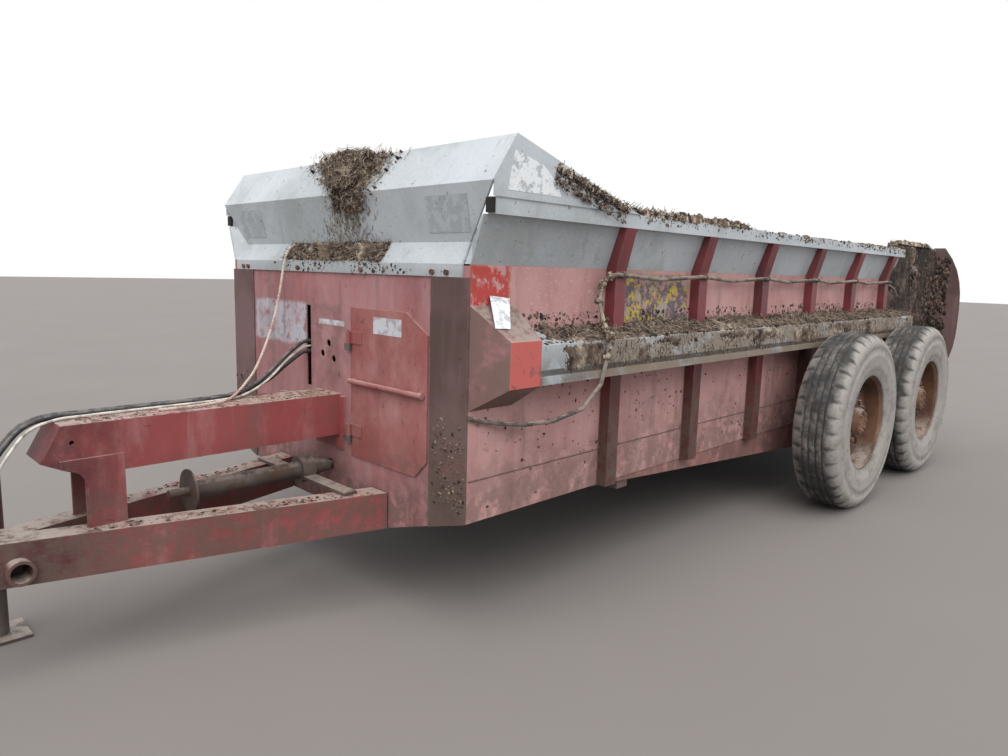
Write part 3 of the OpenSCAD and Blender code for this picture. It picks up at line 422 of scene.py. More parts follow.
def brown_red():
    look = Look("brown_red")
    look.base("#54403b", "#75595a", look.cloud(2.1, 0.36, 0.64, detail=6, rough=0.55, shift=2))
    old_paint = look.cloud(4.4, 0.55, 0.68, stretch=(1, 1, 0.4), shift=8)
    look.layer("#8a5450", old_paint, 0.6)
    weathering(look, 1.0, mud_amount=0.75, streaks=0.45, rust=0.4)
    return look.done(roughness=0.82)


def galvanised():
    look = Look("galvanised")
    spangle = look.cells(60)
    look.base("#adb2b5", "#c3c8cc", look.cloud(1.1, 0.35, 0.65, detail=4, rough=0.55, shift=2))
    look.layer("#d3d8da", look.band(spangle, 0.55, 0.2), 0.2)
    greenish = look.cloud(2.8, 0.48, 0.66, rough=0.65, shift=5)
    look.layer("#999e98", greenish, 0.5)
    drips = look.cloud(11, 0.56, 0.74, detail=6, stretch=(1, 1, 0.1))
    look.layer("#858680", drips, 0.5)
    specks = look.cloud(38, 0.62, 0.68, detail=6, shift=3)
    look.layer("#5b5149", specks, 0.8)
    low_dirt = look.times(look.band(look.z, 1.14, 0.97), look.cloud(8, 0.33, 0.56, detail=8))
    look.layer("#75685e", low_dirt, 0.85)
    below_seam = look.band(look.z, seam_z + 0.02, seam_z - 0.2)
    inside = look.off_middle(wall_y, wall_y - 0.004)
    look.layer("#5d5046", below_seam, inside, look.cloud(6, 0.3, 0.5, shift=9))
    outer = look.off_middle(ledge_y - 0.006, ledge_y - 0.002)
    # Painted shade: a dark strip on the ledge's outer face, just above its rolled foot, stands in for the
    # shade in the groove there.
    groove = look.patch(z=(ledge_low_z + 0.033, ledge_low_z + 0.056), soft=0.003, wobble=0.001)
    tan = look.cloud(7, 0.34, 0.5, detail=8, rough=0.75, stretch=(0.6, 1, 1), shift=41)
    look.layer("#8b7c6e", outer, look.band(look.x, front_x - 0.42, front_x - 0.62), tan, 0.9)
    look.layer("#3f3833", outer, groove, look.band(look.x, front_x - 0.1, front_x - 0.3), 0.85)
    look.bump(look.noise(2.2, detail=2, rough=0.4), 0.012)
    look.bump(look.noise(120, detail=3), 0.0004)
    return look.done(roughness=look.band(specks, 0, 1, 0.5, 0.8), metallic=0.12)


def worn_steel():
    look = Look("steel")
    look.base("#4f4844", "#6f6a66", look.cloud(5, 0.36, 0.62, detail=6, rough=0.55, shift=1))
    look.layer("#61422f", look.cloud(7, 0.47, 0.62, detail=8, rough=0.72, shift=4), 0.75)
    weathering(look, 0.75, mud_amount=0.7, streaks=0.2, rust=0.3, dust=0.9, chips=0.4)
    return look.done(roughness=0.6, metallic=0.35)


def rust():
    look = Look("rust")
    look.base("#4d352b", "#77543f", look.cloud(4, 0.36, 0.64, rough=0.65, shift=2))
    look.layer("#8d6f5c", look.cloud(12, 0.52, 0.68, shift=6), 0.7)
    weathering(look, 0.45, mud_amount=0.5, streaks=0.2, rust=0.5, dust=0.8, chips=0.3)
    return look.done(roughness=0.86)


def machine_grey():
    look = Look("machine_grey")
    look.base("#33383b", "#4b5154", look.cloud(5, 0.36, 0.62, detail=5, rough=0.55, shift=1))
    weathering(look, 0.9, mud_amount=0.8, streaks=0.4, rust=0.5, dust=0.8)
    return look.done(roughness=0.6, metallic=0.2)


def dusty_rubber():
    """Tyre rubber: pale dried dust on the sidewalls and a darker worn tread, as the mesh's tone says."""
    look = Look("tyre_rubber")
    tone = look.tone()
    look.base("#343333", "#454341", look.noise(9, detail=6, rough=0.65))
    dusty = look.band(look.plus(tone, look.swing(0.9, 6, detail=7, rough=0.7, shift=3)), 0.25, 0.62)
    look.layer("#a19b95", dusty, 0.92)
    patches = look.cloud(11, 0.5, 0.64, detail=8, rough=0.72, shift=6)
    look.layer("#7d7771", dusty, patches, 0.7)
    splash = look.cloud(24, 0.55, 0.66, detail=6, shift=9)
    look.layer("#766559", splash, 0.45)
    look.bump(look.noise(70, detail=5, rough=0.65), 0.0012)
    look.bump(look.noise(230, detail=2), 0.0004)
    return look.done(roughness=0.88)


def hose_rubber():
    look = Look("hose_rubber")
    look.base("#232326", "#38383c", look.noise(20, detail=4))
    look.layer("#8b837c", look.band(look.up, 0.1, 0.9), look.cloud(26, 0.4, 0.6, detail=6), 0.6)
    look.layer("#60564f", look.cloud(15, 0.5, 0.65, detail=6, shift=4), 0.6)
    look.bump(look.noise(400, detail=2), 0.0004)
    return look.done(roughness=0.55)


def dusty_hose():
    look = Look("dusty_hose")
    look.base("#4a4440", "#8d8177", look.cloud(9, 0.36, 0.6, detail=6))
    look.layer("#a99a8c", look.band(look.up, 0.1, 0.8), look.cloud(22, 0.4, 0.6, detail=6, shift=3))
    look.bump(look.noise(300, detail=3), 0.0006)
    return look.done(roughness=0.85)


def pale_cable():
    look = Look("pale_cable")
    look.base("#a9a59b", "#d3cfc4", look.cloud(24, 0.35, 0.6, detail=5, rough=0.55))
    look.layer("#6f655b", look.cloud(33, 0.52, 0.66, detail=6, shift=5), 0.7)
    return look.done(roughness=0.6)


def rope_fibre():
    look = Look("rope_fibre")
    look.base("#b5a294", "#ddd0c3", look.noise(60, detail=4))
    look.layer("#a26f5f", look.cloud(14, 0.5, 0.62, detail=5, shift=5), 0.6)
    look.bump(look.noise(900, detail=2), 0.0004)
    return look.done(roughness=0.95)


def coupler_steel():
    look = Look("coupler_steel")
    look.base("#7c7a76", "#a6a39d", look.noise(40, detail=4))
    look.layer("#6a4a35", look.cloud(60, 0.5, 0.62, detail=6), 0.6)
    return look.done(roughness=0.4, metallic=0.8)


def muck():
    """Dried manure and chaff. Its tone runs from dark lumps to pale straw."""
    look = Look("dry_muck")
    tone = look.tone()
    varied = look.plus(tone, look.swing(0.8, 55, detail=6, rough=0.7))
    look.base("#2b221e", "#6b5a4e", look.band(varied, 0.15, 0.5))
    look.layer("#b8a995", look.band(varied, 0.5, 0.95))
    look.bump(look.noise(260, detail=4, rough=0.7), 0.002)
    return look.done(roughness=0.95)


looks = {
    "faded_red": faded_red(), "red_paint": red_paint(), "dark_red": dark_red(), "brown_red": brown_red(),
    "galvanised": galvanised(), "steel": worn_steel(), "machine_grey": machine_grey(), "rust": rust(),
    "tyre": dusty_rubber(), "hose": hose_rubber(), "cable": pale_cable(), "rope": rope_fibre(),
    "coupler": coupler_steel(),
}
side_hose_look = dusty_hose()
dry_muck = muck()


def dress_nodes():
    """Every CAD node gets the look of its own material slot, and the side hoses a dustier one."""
    for entry in frame["record"]["subparts"]:
        node = nodes[entry["node"]]
        node.data.materials.clear()
        own = side_hose_look if entry["node"] == "side_hoses" else looks[entry["material_slot"]]
        node.data.materials.append(own)


# Cords, in metres, along the same routes as in the part's source
hose_radius, cable_radius, rope_radius = 0.009, 0.005, 0.006
hose_one_route = [
    (1.930, -0.178, 1.045), (1.975, -0.178, 1.038), (2.060, -0.165, 0.985), (2.180, -0.130, 0.905),
    (2.300, -0.085, 0.860), (2.420, -0.060, 0.848), (2.700, -0.052, 0.8475), (2.900, -0.045, 0.8475),
    (3.010, -0.035, 0.848), (3.095, -0.015, 0.826), (3.160, 0.005, 0.765), (3.215, 0.022, 0.690),
    (3.285, 0.034, 0.605), (3.365, 0.041, 0.530), (3.440, 0.042, 0.474), (3.490, 0.042, 0.4598),
    (3.540, 0.042, 0.4598)]
hose_two_route = [
    (1.930, -0.178, 1.000), (1.975, -0.178, 0.992), (2.055, -0.172, 0.945), (2.160, -0.150, 0.885),
    (2.290, -0.112, 0.856), (2.420, -0.080, 0.848), (2.700, -0.074, 0.8475), (2.900, -0.070, 0.8475),
    (3.010, -0.062, 0.848), (3.090, -0.052, 0.828), (3.150, -0.046, 0.770), (3.200, -0.044, 0.700),
    (3.265, -0.044, 0.615), (3.345, -0.044, 0.535), (3.430, -0.044, 0.476), (3.490, -0.044, 0.4598),
    (3.540, -0.044, 0.4598)]
cable_route = [
    (1.930, -0.176, 1.022), (1.975, -0.176, 1.015), (2.060, -0.158, 0.965), (2.170, -0.120, 0.893),
    (2.300, -0.058, 0.853), (2.420, -0.034, 0.8438), (2.700, -0.027, 0.8438), (2.900, -0.018, 0.8438),
    (3.005, 0.005, 0.844), (3.090, 0.030, 0.820), (3.150, 0.045, 0.755), (3.200, 0.054, 0.680),
    (3.265, 0.059, 0.595), (3.340, 0.060, 0.525), (3.425, 0.060, 0.470), (3.480, 0.060, 0.4558),
    (3.530, 0.060, 0.4558)]
rope_route = [
    (1.905, -0.345, 1.477), (1.935, -0.345, 1.454), (1.962, -0.342, 1.400), (1.990, -0.325, 1.300),
    (2.030, -0.300, 1.180), (2.085, -0.262, 1.075), (2.150, -0.210, 0.990), (2.215, -0.155, 0.928),
    (2.275, -0.104, 0.894), (2.330, -0.056, 0.869), (2.385, -0.016, 0.850), (2.440, 0.012, 0.845),
    (2.520, 0.030, 0.8448), (2.600, 0.036, 0.8448), (2.680, 0.030, 0.8448)]


def twisted_rope(path, radius, strands=3, lay=0.052, sides=6):
    """Strands laid round each other along the route, closed at both ends."""
    parts, frames = [], route_frames(path)
    travelled = [0.0]
    for a, b in zip(path, path[1:]):
        travelled.append(travelled[-1] + (b - a).length)
    for strand in range(strands):
        line = []
        for place, (_, across, over), far in zip(path, frames, travelled):
            turn = 2 * math.pi * (far / lay + strand / strands)
            line.append(place + 0.48 * radius * (math.cos(turn) * across + math.sin(turn) * over))
        parts.append(tube_parts(line, 0.52 * radius, sides))
    return join_parts(parts)


def even_route(path, gap):
    """The same route with points a gap apart."""
    found, left = [path[0]], gap
    for a, b in zip(path, path[1:]):
        span, done = (b - a).length, 0.0
        while span - done >= left:
            done += left
            found.append(a.lerp(b, done / span))
            left = gap
        left -= span - done
    return found + [path[-1]]


def add_cords():
    for name, route, radius, slot, stiffness, far_end in [
            ("hose_one", hose_one_route, hose_radius, "hose", "stiff", "fitting"),
            ("hose_two", hose_two_route, hose_radius, "hose", "stiff", "fitting"),
            ("cable", cable_route, cable_radius, "cable", "medium", "plug")]:
        path = smooth_route(route, 5)
        made = add_piece("free_" + name, *tube_parts(path, radius, 14), looks[slot], slot=slot)
        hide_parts(name)
    path = even_route(smooth_route(rope_route, 6), 0.006)
    made = add_piece("free_rope", *twisted_rope(path, rope_radius), looks["rope"], slot="rope")
    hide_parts("rope")


# Tyres


def tyre_profile(bead, rim, radius, half):
    """Radius, height and dust of the points round a tyre's section, from one bead to the other."""
    side = [
        (bead, half - 0.022, 0.5), (rim + 0.014, half - 0.009, 0.7), (rim + 0.030, half - 0.0075, 0.9),
        (rim + 0.034, half - 0.004, 0.9), (rim + 0.060, half - 0.003, 0.95),
        (rim + 0.100, half - 0.0005, 0.95), (rim + 0.104, half, 0.9), (rim + 0.122, half, 0.95),
        (rim + 0.126, half - 0.003, 0.95), (radius - 0.072, half - 0.004, 0.9),
        (radius - 0.068, half - 0.001, 0.9), (radius - 0.034, half - 0.014, 0.75),
        (radius - 0.012, half - 0.034, 0.5), (radius, half - 0.062, 0.35)]
    tread = []
    for middle in (0.056, 0.020, -0.020, -0.056):
        tread += [(radius, middle + 0.006, 0.3), (radius - 0.005, middle + 0.003, 0.2),
                  (radius - 0.005, middle - 0.003, 0.2), (radius, middle - 0.006, 0.3)]
    return side + tread + [(r, -h, dust) for r, h, dust in reversed(side)]


def wheel_bolts(name, middle, lift, circle, pairs, s, radius, height, body):
    """Bolts on a circle round a wheel's axis, on the face that is lift away from its middle."""
    spots = []
    for k in range(2 * pairs):
        turn = k * math.pi / pairs
        place = (middle.x + circle * math.cos(turn), middle.y + s * lift, middle.z + circle * math.sin(turn))
        spots.append((place, (0, s, 0)))
    bolt_heads(name, spots, radius, height, looks["rust"], body, "rust")


def add_tyres(segments=180, slot_gap=5, slot_depth=0.006, zigzag=0.003):
    """Tyres with the grooves and shoulder slots of a worn tread, wheel nuts and hub bolts."""
    for end in ("front", "rear"):
        for side, s in SIDES.items():
            node, body = f"tyre_{end}_{side}", f"wheel_{end[0]}{side[0]}"
            low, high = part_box(node)
            middle, radius, half = (low + high) / 2, (high.z - low.z) / 2, (high.y - low.y) / 2
            rim_low, rim_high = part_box(f"wheel_{end}_{side}")
            rim = (rim_high.z - rim_low.z) / 2
            profile = tyre_profile(rim - 0.012, rim, radius, half)
            points, dust = [], []
            for i in range(segments):
                turn = 2 * math.pi * i / segments
                sway = zigzag if i % (2 * slot_gap) < slot_gap else -zigzag
                for r, h, tone in profile:
                    slot = i % slot_gap == 0 and radius - 0.05 < r and abs(h) > half - 0.066
                    groove = abs(h) < half - 0.07 and r < radius - 0.004
                    r -= slot_depth if slot else 0.0
                    h += sway if groove else 0.0
                    points.append((middle.x + r * math.cos(turn), middle.y + h,
                                   middle.z + r * math.sin(turn)))
                    # Painted shade: points in the shoulder slots keep only 0.6 of their dust tone, so the
                    # slots show darker.
                    dust.append(tone * 0.6 if slot else tone)
            count, triangles = len(profile), []
            for i in range(segments):
                for j in range(count):
                    a, b = i * count + j, i * count + (j + 1) % count
                    c, d = (i + 1) % segments * count + (j + 1) % count, (i + 1) % segments * count + j
                    triangles += [(a, b, c), (a, c, d)]
            made = add_triangles("worn_" + node, points, triangles, looks["tyre"], body, tone=dust)
            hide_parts(node)
            wheel_bolts(f"wheel_nuts_{end}_{side}", middle, 0.040, 0.118, 5, s, 0.016, 0.022, body)
            wheel_bolts(f"hub_bolts_{end}_{side}", middle, 0.092, 0.056, 4, s, 0.008, 0.007, body)


# Bolts, labels and welds


def bolt_heads(name, spots, radius, height, look, body="root", slot=None, sunk=0.001):
    """Hexagon heads, sunk a little, at places that are given with the direction that each faces."""
    parts = []
    for place, direction in spots:
        direction = Vector(direction).normalized()
        across = direction.orthogonal().normalized()
        over = direction.cross(across)
        points = [Vector(place) + lift * direction + radius * (math.cos(k * math.pi / 3) * across
                  + math.sin(k * math.pi / 3) * over) for lift in (-sunk, height) for k in range(6)]
        faces = [(k, (k + 1) % 6, 6 + (k + 1) % 6, 6 + k) for k in range(6)]
        parts.append((points, faces + [tuple(range(6, 12)), tuple(range(5, -1, -1))]))
    return add_piece(name, *join_parts(parts), look, body, slot)


def thin_plate(name, outline, normal, look, body="root", thickness=0.0006, gap=0.0002):
    """A flat sheet a small gap above a surface, given by its outline there."""
    lift = Vector(normal).normalized()
    points = [Vector(p) + h * lift for h in (gap, gap + thickness) for p in outline]
    count = len(outline)
    faces = [tuple(range(count - 1, -1, -1)), tuple(range(count, 2 * count))]
    faces += [(k, (k + 1) % count, count + (k + 1) % count, count + k) for k in range(count)]
    return add_piece(name, points, faces, look, body)


def label_look(name, pale, worn, amount):
    look = Look(name)
    look.base(pale, worn, look.cloud(26, 0.62 - amount, 0.70 - amount))
    look.layer("#4b3d35", look.cloud(45, 0.6, 0.68, detail=6, shift=4), 0.7)
    return look.done(roughness=0.6)


def upright(x, low_y, high_y, low_z, high_z):
    """Corners of a rectangle that faces forward."""
    return [(x, low_y, low_z), (x, high_y, low_z), (x, high_y, high_z), (x, low_y, high_z)]


def add_labels():
    """All labels are left blank."""
    white = label_look("blank_white", "#e9ebec", "#b9bcc0", 0.12)
    grey = label_look("blank_grey", "#c6c7cc", "#aaa2a4", 0.14)
    dull = label_look("blank_dull", "#b3b8ba", "#a4a9ab", 0.18)
    door_face_x = panel_x + 0.0085
    thin_plate("door_label", upright(door_face_x, 0.335, 0.520, 1.118, 1.186), FORWARD, grey, "front_door")
    thin_plate("panel_label", upright(panel_x, -0.090, 0.112, 1.130, 1.153), FORWARD, grey)
    tag = [(1.847, 0.003, 1.294), (1.745, 0.003, 1.284), (1.836, 0.100, 1.182), (1.902, 0.092, 1.186)]
    thin_plate("paper_tag", [(x, wall_y + d, z) for x, d, z in tag], (0, 0.72, 0.69), white, thickness=0.0015)
    for side, s in SIDES.items():
        sheet = [(1.868, 1.655), (1.836, 1.790), (1.690, 1.755), (1.610, 1.700), (1.590, 1.655)]
        thin_plate(f"shield_label_{side}", [(x, s * shield_y, z) for x, z in sheet], (0, s, 0), white)
        low, high = Vector((front_x - 0.046, 0, 1.515)), Vector((front_x - 0.0145, 0, 1.645))
        spots = [low + s * Vector((0, 0.63, 0)), low + s * Vector((0, 0.85, 0)),
                 high + s * Vector((0, 0.86, 0)), high + s * Vector((0, 0.63, 0))]
        thin_plate(f"flare_label_{side}", spots, (1, 0, -0.24), dull)


def add_sheet_forms():
    """The plate round the foot of the upper beam, the rolled foot of the ledge, the folded front corners
    of the flares and near-black plates in the top rails' open front ends, which paint the shade inside them."""
    paint, metal = looks["red_paint"], looks["galvanised"]
    low_z, high_z = beam_top_z - 0.178, beam_top_z - 0.010
    for name, sheet in {"left": (0.0905, 0.125, low_z, high_z), "right": (-0.125, -0.0905, low_z, high_z),
                        "below": (-0.110, 0.110, low_z - 0.062, low_z - 0.0005)}.items():
        thin_plate("foot_plate_" + name, upright(panel_x, *sheet), FORWARD, paint, thickness=0.012)
    # Painted shade: a near-black look for plates that stand in for the shade inside the top rails' open front
    # ends.
    end_shade = Look("painted_end_shade")
    end_shade.base("#1c1917", "#2b2623", end_shade.noise(20))
    dark = end_shade.done(roughness=0.9)
    flare_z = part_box("flares")[1].z
    roll_low_z, roll_high_z = ledge_low_z + 0.001, ledge_low_z + 0.031
    for side, s in SIDES.items():
        roll = [(x, s * ledge_y, z) for x, z in (
            (ledge_low_x, roll_low_z), (ledge_high_x, roll_low_z),
            (ledge_high_x, roll_high_z), (ledge_low_x, roll_high_z))]
        thin_plate("ledge_roll_" + side, roll[::s], (0, s, 0), metal, thickness=0.005)
        fold = [(front_x - back, s * y, z) for back, y, z in (
            (0.0115, 0.8600, seam_z + 0.0006), (0.0084, 0.8968, seam_z + 0.0006),
            (0.0084, 0.9558, flare_z - 0.0006), (0.0420, 0.9110, flare_z - 0.0006),
            (0.0642, 0.8412, seam_z + 0.079))]
        inner = [(x - 0.003, y - s * 0.003, z) for x, y, z in fold]
        faces = [(4, 0, 1), (4, 1, 2), (4, 2, 3), (9, 6, 5), (9, 7, 6), (9, 8, 7)]
        faces += [(k, 5 + k, 5 + (k + 1) % 5, (k + 1) % 5) for k in range(5)]
        add_piece("corner_fold_" + side, fold + inner, [f[::s] for f in faces], metal, sharp_angle=20)
        # Painted shade plate in the open front end of each top rail.
        end = upright(rail_front_x, rail_y - 0.036, rail_y - 0.004, flare_z + 0.005, rail_top_z - 0.004)
        end = [(x, s * y, z) for x, y, z in end]
        thin_plate("rail_end_" + side, end[::s], FORWARD, dark, thickness=0.014)


def add_fittings():
    """Bolts at the lip, the bearings and the guard, bands that hold the side hose, and weld seams."""
    lip = [((front_x, y, seam_z - 0.030), FORWARD) for y in (-0.78, -0.73, -0.25, 0.25, 0.70, 0.78)]
    bolt_heads("lip_bolts", lip, 0.011, 0.009, looks["rust"])
    bearing = [((x + a * 0.046, s * (wall_y + 0.0143), z + b * 0.046), (0, s, 0))
               for s in (1, -1) for x, z in beater_places for a in (1, -1) for b in (1, -1)]
    bolt_heads("bearing_bolts", bearing, 0.011, 0.010, looks["steel"])
    guard = [((x, -wall_y - 0.0963, z), (0, -1, 0))
             for x, z in ((-3.33, 0.49), (-3.14, 0.93), (-3.06, 1.46), (-3.22, 0.72))]
    bolt_heads("guard_bolts", guard, 0.012, 0.008, looks["steel"])
    rib_low, rib_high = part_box("ribs")
    pitch = (rib_high.x - rib_low.x - 2 * rib_half) / (rib_count - 1)
    rib_middles = [rib_high.x - rib_half - i * pitch for i in range(rib_count)]
    hose_y, hose_z, band_radius = wall_y + 0.0595, seam_z - 0.0232, 0.0125
    bands = []
    for x in rib_middles:
        ring = [Vector((x, hose_y + band_radius * math.cos(a), hose_z + band_radius * math.sin(a)))
                for a in np.linspace(-math.pi * 0.72, math.pi * 0.72, 9)]
        bands.append(tube_parts(ring, 0.0035, 6))
    add_piece("hose_bands", *join_parts(bands), looks["steel"])
    seams = []
    for s in (1, -1):
        y = s * (wall_y + 0.001)
        panel_seam_y = s * (wall_y - 0.205)
        seams.append([Vector((front_x - 0.002, panel_seam_y, z)) for z in np.linspace(0.43, 1.35, 60)])
        seams.append([Vector((x, y, 0.625)) for x in np.linspace(-2.3, 1.93, 160)])
        for middle in rib_middles:
            for edge in (-rib_half - 0.001, rib_half + 0.001):
                seams.append([Vector((middle + edge, y, z)) for z in np.linspace(0.48, 0.97, 30)])
    jitter = np.random.default_rng(5)
    beads = [tube_parts(line, lambda i: 0.0022 + 0.0012 * jitter.random(), 5) for line in seams]
    add_piece("weld_seams", *join_parts(beads), looks["brown_red"], slot="brown_red")


# Dried muck and straw


class Litter:
    """Lumps of dried muck and stalks of straw, gathered for one mesh. An area is given by its corner,
    its two sides and its normal."""

    # A lump has a wide ring, a narrower one turned by half a step, and a tip. A stalk is a bent prism.
    ring = np.arange(6) * math.pi / 3
    lump = np.concatenate([
        np.stack([np.cos(ring), np.sin(ring), np.full(6, -0.2)], 1),
        np.stack([0.7 * np.cos(ring + 0.52), 0.7 * np.sin(ring + 0.52), np.full(6, 0.62)], 1), [[0, 0, 1.0]]])
    lump_faces = np.array([f for k in range(6) for f in (
        (k, (k + 1) % 6, 6 + k), ((k + 1) % 6, 6 + (k + 1) % 6, 6 + k), (6 + k, 6 + (k + 1) % 6, 12))])
    stalk_faces = np.array([f for j in range(2) for k in range(3) for f in (
        (3 * j + k, 3 * j + (k + 1) % 3, 3 * j + 3 + k),
        (3 * j + (k + 1) % 3, 3 * j + 3 + (k + 1) % 3, 3 * j + 3 + k))])

    def __init__(self, seed, amount=1.0):
        self.random, self.amount = np.random.default_rng(seed), amount
        self.points, self.triangles, self.tones, self.count = [], [], [], 0

    def keep(self, points, faces, tones):
        """Copies of one small piece, with the points of each in its own row."""
        number, size = points.shape[:2]
        shift = self.count + np.arange(number)[:, None, None] * size
        self.points.append(points.reshape(-1, 3))
        self.triangles.append((faces[None] + shift).reshape(-1, 3))
        self.tones.append(np.repeat(tones, size))
        self.count += number * size

    def places(self, area, count, clumps, spread, share=0.7):
        """Random places on an area, a share of them in clumps. spread is a clump's size in metres."""
        corner, along, across = (np.array(v, float) for v in area[:3])
        count = round(count * self.amount)
        spot = self.random.random((count, 2))
        centre = self.random.random((clumps, 2))[self.random.integers(0, clumps, count)]
        sizes = np.array([np.linalg.norm(along), np.linalg.norm(across)])
        near = centre + self.random.normal(0, 1, (count, 2)) * spread / sizes
        spot = np.abs(np.where(self.random.random((count, 1)) < share, near, spot)) % 2
        spot = np.where(spot > 1, 2 - spot, spot)
        return corner + spot[:, :1] * along + spot[:, 1:] * across

    def scatter(self, area, count, clumps, spread, size, flat, tones=(0.0, 0.6), share=0.7, stretch=1.0):
        """Lumps on an area, whose sizes run from size[0] to size[1] and whose height is flat times that."""
        self.lumps(self.places(area, count, clumps, spread, share), area[3], size, flat, tones, stretch)

    def strew(self, area, count, clumps, spread, length, share=0.7, **kind):
        """Stalks on an area, whose lengths run from length[0] to length[1]."""
        self.straws(self.places(area, count, clumps, spread, share), area[3], length, **kind)

    def axes(self, normal):
        """Two directions along a surface and its normal. The first points up a wall."""
        normal = np.array(normal, float) / np.linalg.norm(normal)
        first = np.array([0, 0, 1.0]) if abs(normal[2]) < 0.8 else np.array([1.0, 0, 0])
        first = first - first @ normal * normal
        first /= np.linalg.norm(first)
        return np.stack([first, np.cross(normal, first), normal])

    def lumps(self, places, normal, size, flat, tones=(0.0, 0.6), stretch=1.0):
        """A lump at each place. Most are small, and stretch makes them longer up a wall."""
        number = len(places)
        shape = self.lump[None] * self.random.uniform(0.4, 1.5, (number, len(self.lump), 1))
        turn = self.random.uniform(0, 2 * math.pi, number)
        cos, sin = np.cos(turn)[:, None], np.sin(turn)[:, None]
        shape = np.stack([cos * shape[..., 0] - sin * shape[..., 1],
                          sin * shape[..., 0] + cos * shape[..., 1], shape[..., 2]], 2)
        radius = size[0] + (size[1] - size[0]) * self.random.random(number) ** 2.5
        shape = shape * radius[:, None, None] * np.array([stretch, 1, flat])
        points = places[:, None] + shape @ self.axes(normal)
        self.keep(points, self.lump_faces, self.random.uniform(*tones, number))

    def straws(self, places, normal, length, radius=0.0014, lean=0.2, tones=(0.55, 1.0), fall=0.0):
        """A stalk at each place. lean lifts their ends off the surface, and fall turns them up and down."""
        number = len(places)
        axes = self.axes(normal)
        turn = self.random.uniform(0, 2 * math.pi, number)
        tilt = self.random.normal(0, lean, number)
        heading = np.stack([np.cos(turn) + fall * np.sign(np.cos(turn)), np.sin(turn), tilt], 1) @ axes
        heading /= np.linalg.norm(heading, axis=1)[:, None]
        half = self.random.uniform(*length, number)[:, None] / 2
        rise = radius * 2 + np.abs(tilt)[:, None] * half * 0.9
        middle = places + rise * axes[2]
        bend = self.random.normal(0, 0.12, (number, 3)) * half
        across = np.cross(heading, axes[2])
        across /= np.linalg.norm(across, axis=1)[:, None] + 1e-9
        over = np.cross(heading, across)
        rings, third = [], 2.094
        for centre in (middle - half * heading, middle + bend, middle + half * heading):
            rings += [centre + radius * (math.cos(k * third) * across + math.sin(k * third) * over)
                      for k in range(3)]
        self.keep(np.stack(rings, 1), self.stalk_faces, self.random.uniform(*tones, number))

    def field(self, rows, columns, scales):
        """Uneven values from 0 to 1. A scale is the size of a patch in rows and columns."""
        total, weight = np.zeros((rows, columns)), 0.0
        for k, (high, wide) in enumerate(scales):
            coarse = self.random.random((rows // high + 2, columns // wide + 2))
            u, v = np.arange(rows) / high, np.arange(columns) / wide
            i, j = u.astype(int)[:, None], v.astype(int)[None]
            a, b = (u % 1)[:, None], (v % 1)[None]
            a, b = a * a * (3 - 2 * a), b * b * (3 - 2 * b)
            value = ((coarse[i, j] * (1 - b) + coarse[i, j + 1] * b) * (1 - a)
                     + (coarse[i + 1, j] * (1 - b) + coarse[i + 1, j + 1] * b) * a)
            total += value * 0.6 ** k
            weight += 0.6 ** k
        return total / weight

    def bed(self, area, steps, height, scales, low, cover=None, tones=(0.0, 0.8), sunk=0.002, grain=0.0012):
        """An uneven layer, gone where its value is below low. cover(u, v) thins it out."""
        corner, along, across, normal = (np.array(v, float) for v in area)
        rows, columns = steps
        value = self.field(rows, columns, scales)
        u, v = np.meshgrid(np.linspace(0, 1, rows), np.linspace(0, 1, columns), indexing="ij")
        edge = np.clip(np.minimum(np.minimum(u, 1 - u) * rows, np.minimum(v, 1 - v) * columns) / 2, 0, 1)
        thick = (value * (cover(u, v) if cover else 1.0) - low) / (1 - low)
        rise = np.clip(height * thick, -sunk, None) * edge - sunk * (1 - edge)
        rise_and_grain = rise + self.random.normal(0, grain, rise.shape)
        points = (corner + u[..., None] * along + v[..., None] * across
                  + rise_and_grain[..., None] * (normal / np.linalg.norm(normal)))
        index = np.arange(rows * columns).reshape(rows, columns)
        a, b, c, d = index[:-1, :-1], index[1:, :-1], index[1:, 1:], index[:-1, 1:]
        shown = (np.stack([rise[:-1, :-1], rise[1:, :-1], rise[1:, 1:], rise[:-1, 1:]]).max(0) > -0.0015)
        faces = np.concatenate([np.stack([a, b, c], 2)[shown], np.stack([a, c, d], 2)[shown]])
        self.points.append(points.reshape(-1, 3))
        self.triangles.append(faces + self.count)
        spread = self.field(rows, columns, [(6, 6), (2, 2), (1, 1)])
        self.tones.append((tones[0] + (tones[1] - tones[0]) * np.clip(spread * 1.6 - 0.3, 0, 1)).ravel())
        self.count += rows * columns

    def build(self, name):
        add_triangles(name, np.concatenate(self.points), np.concatenate(self.triangles), dry_muck,
                      tone=np.concatenate(self.tones), smooth=False)


# The right side, away from the camera, has less
muck_amount = {"left": 1.0, "right": 0.33}
stalk_length = (0.012, 0.05)


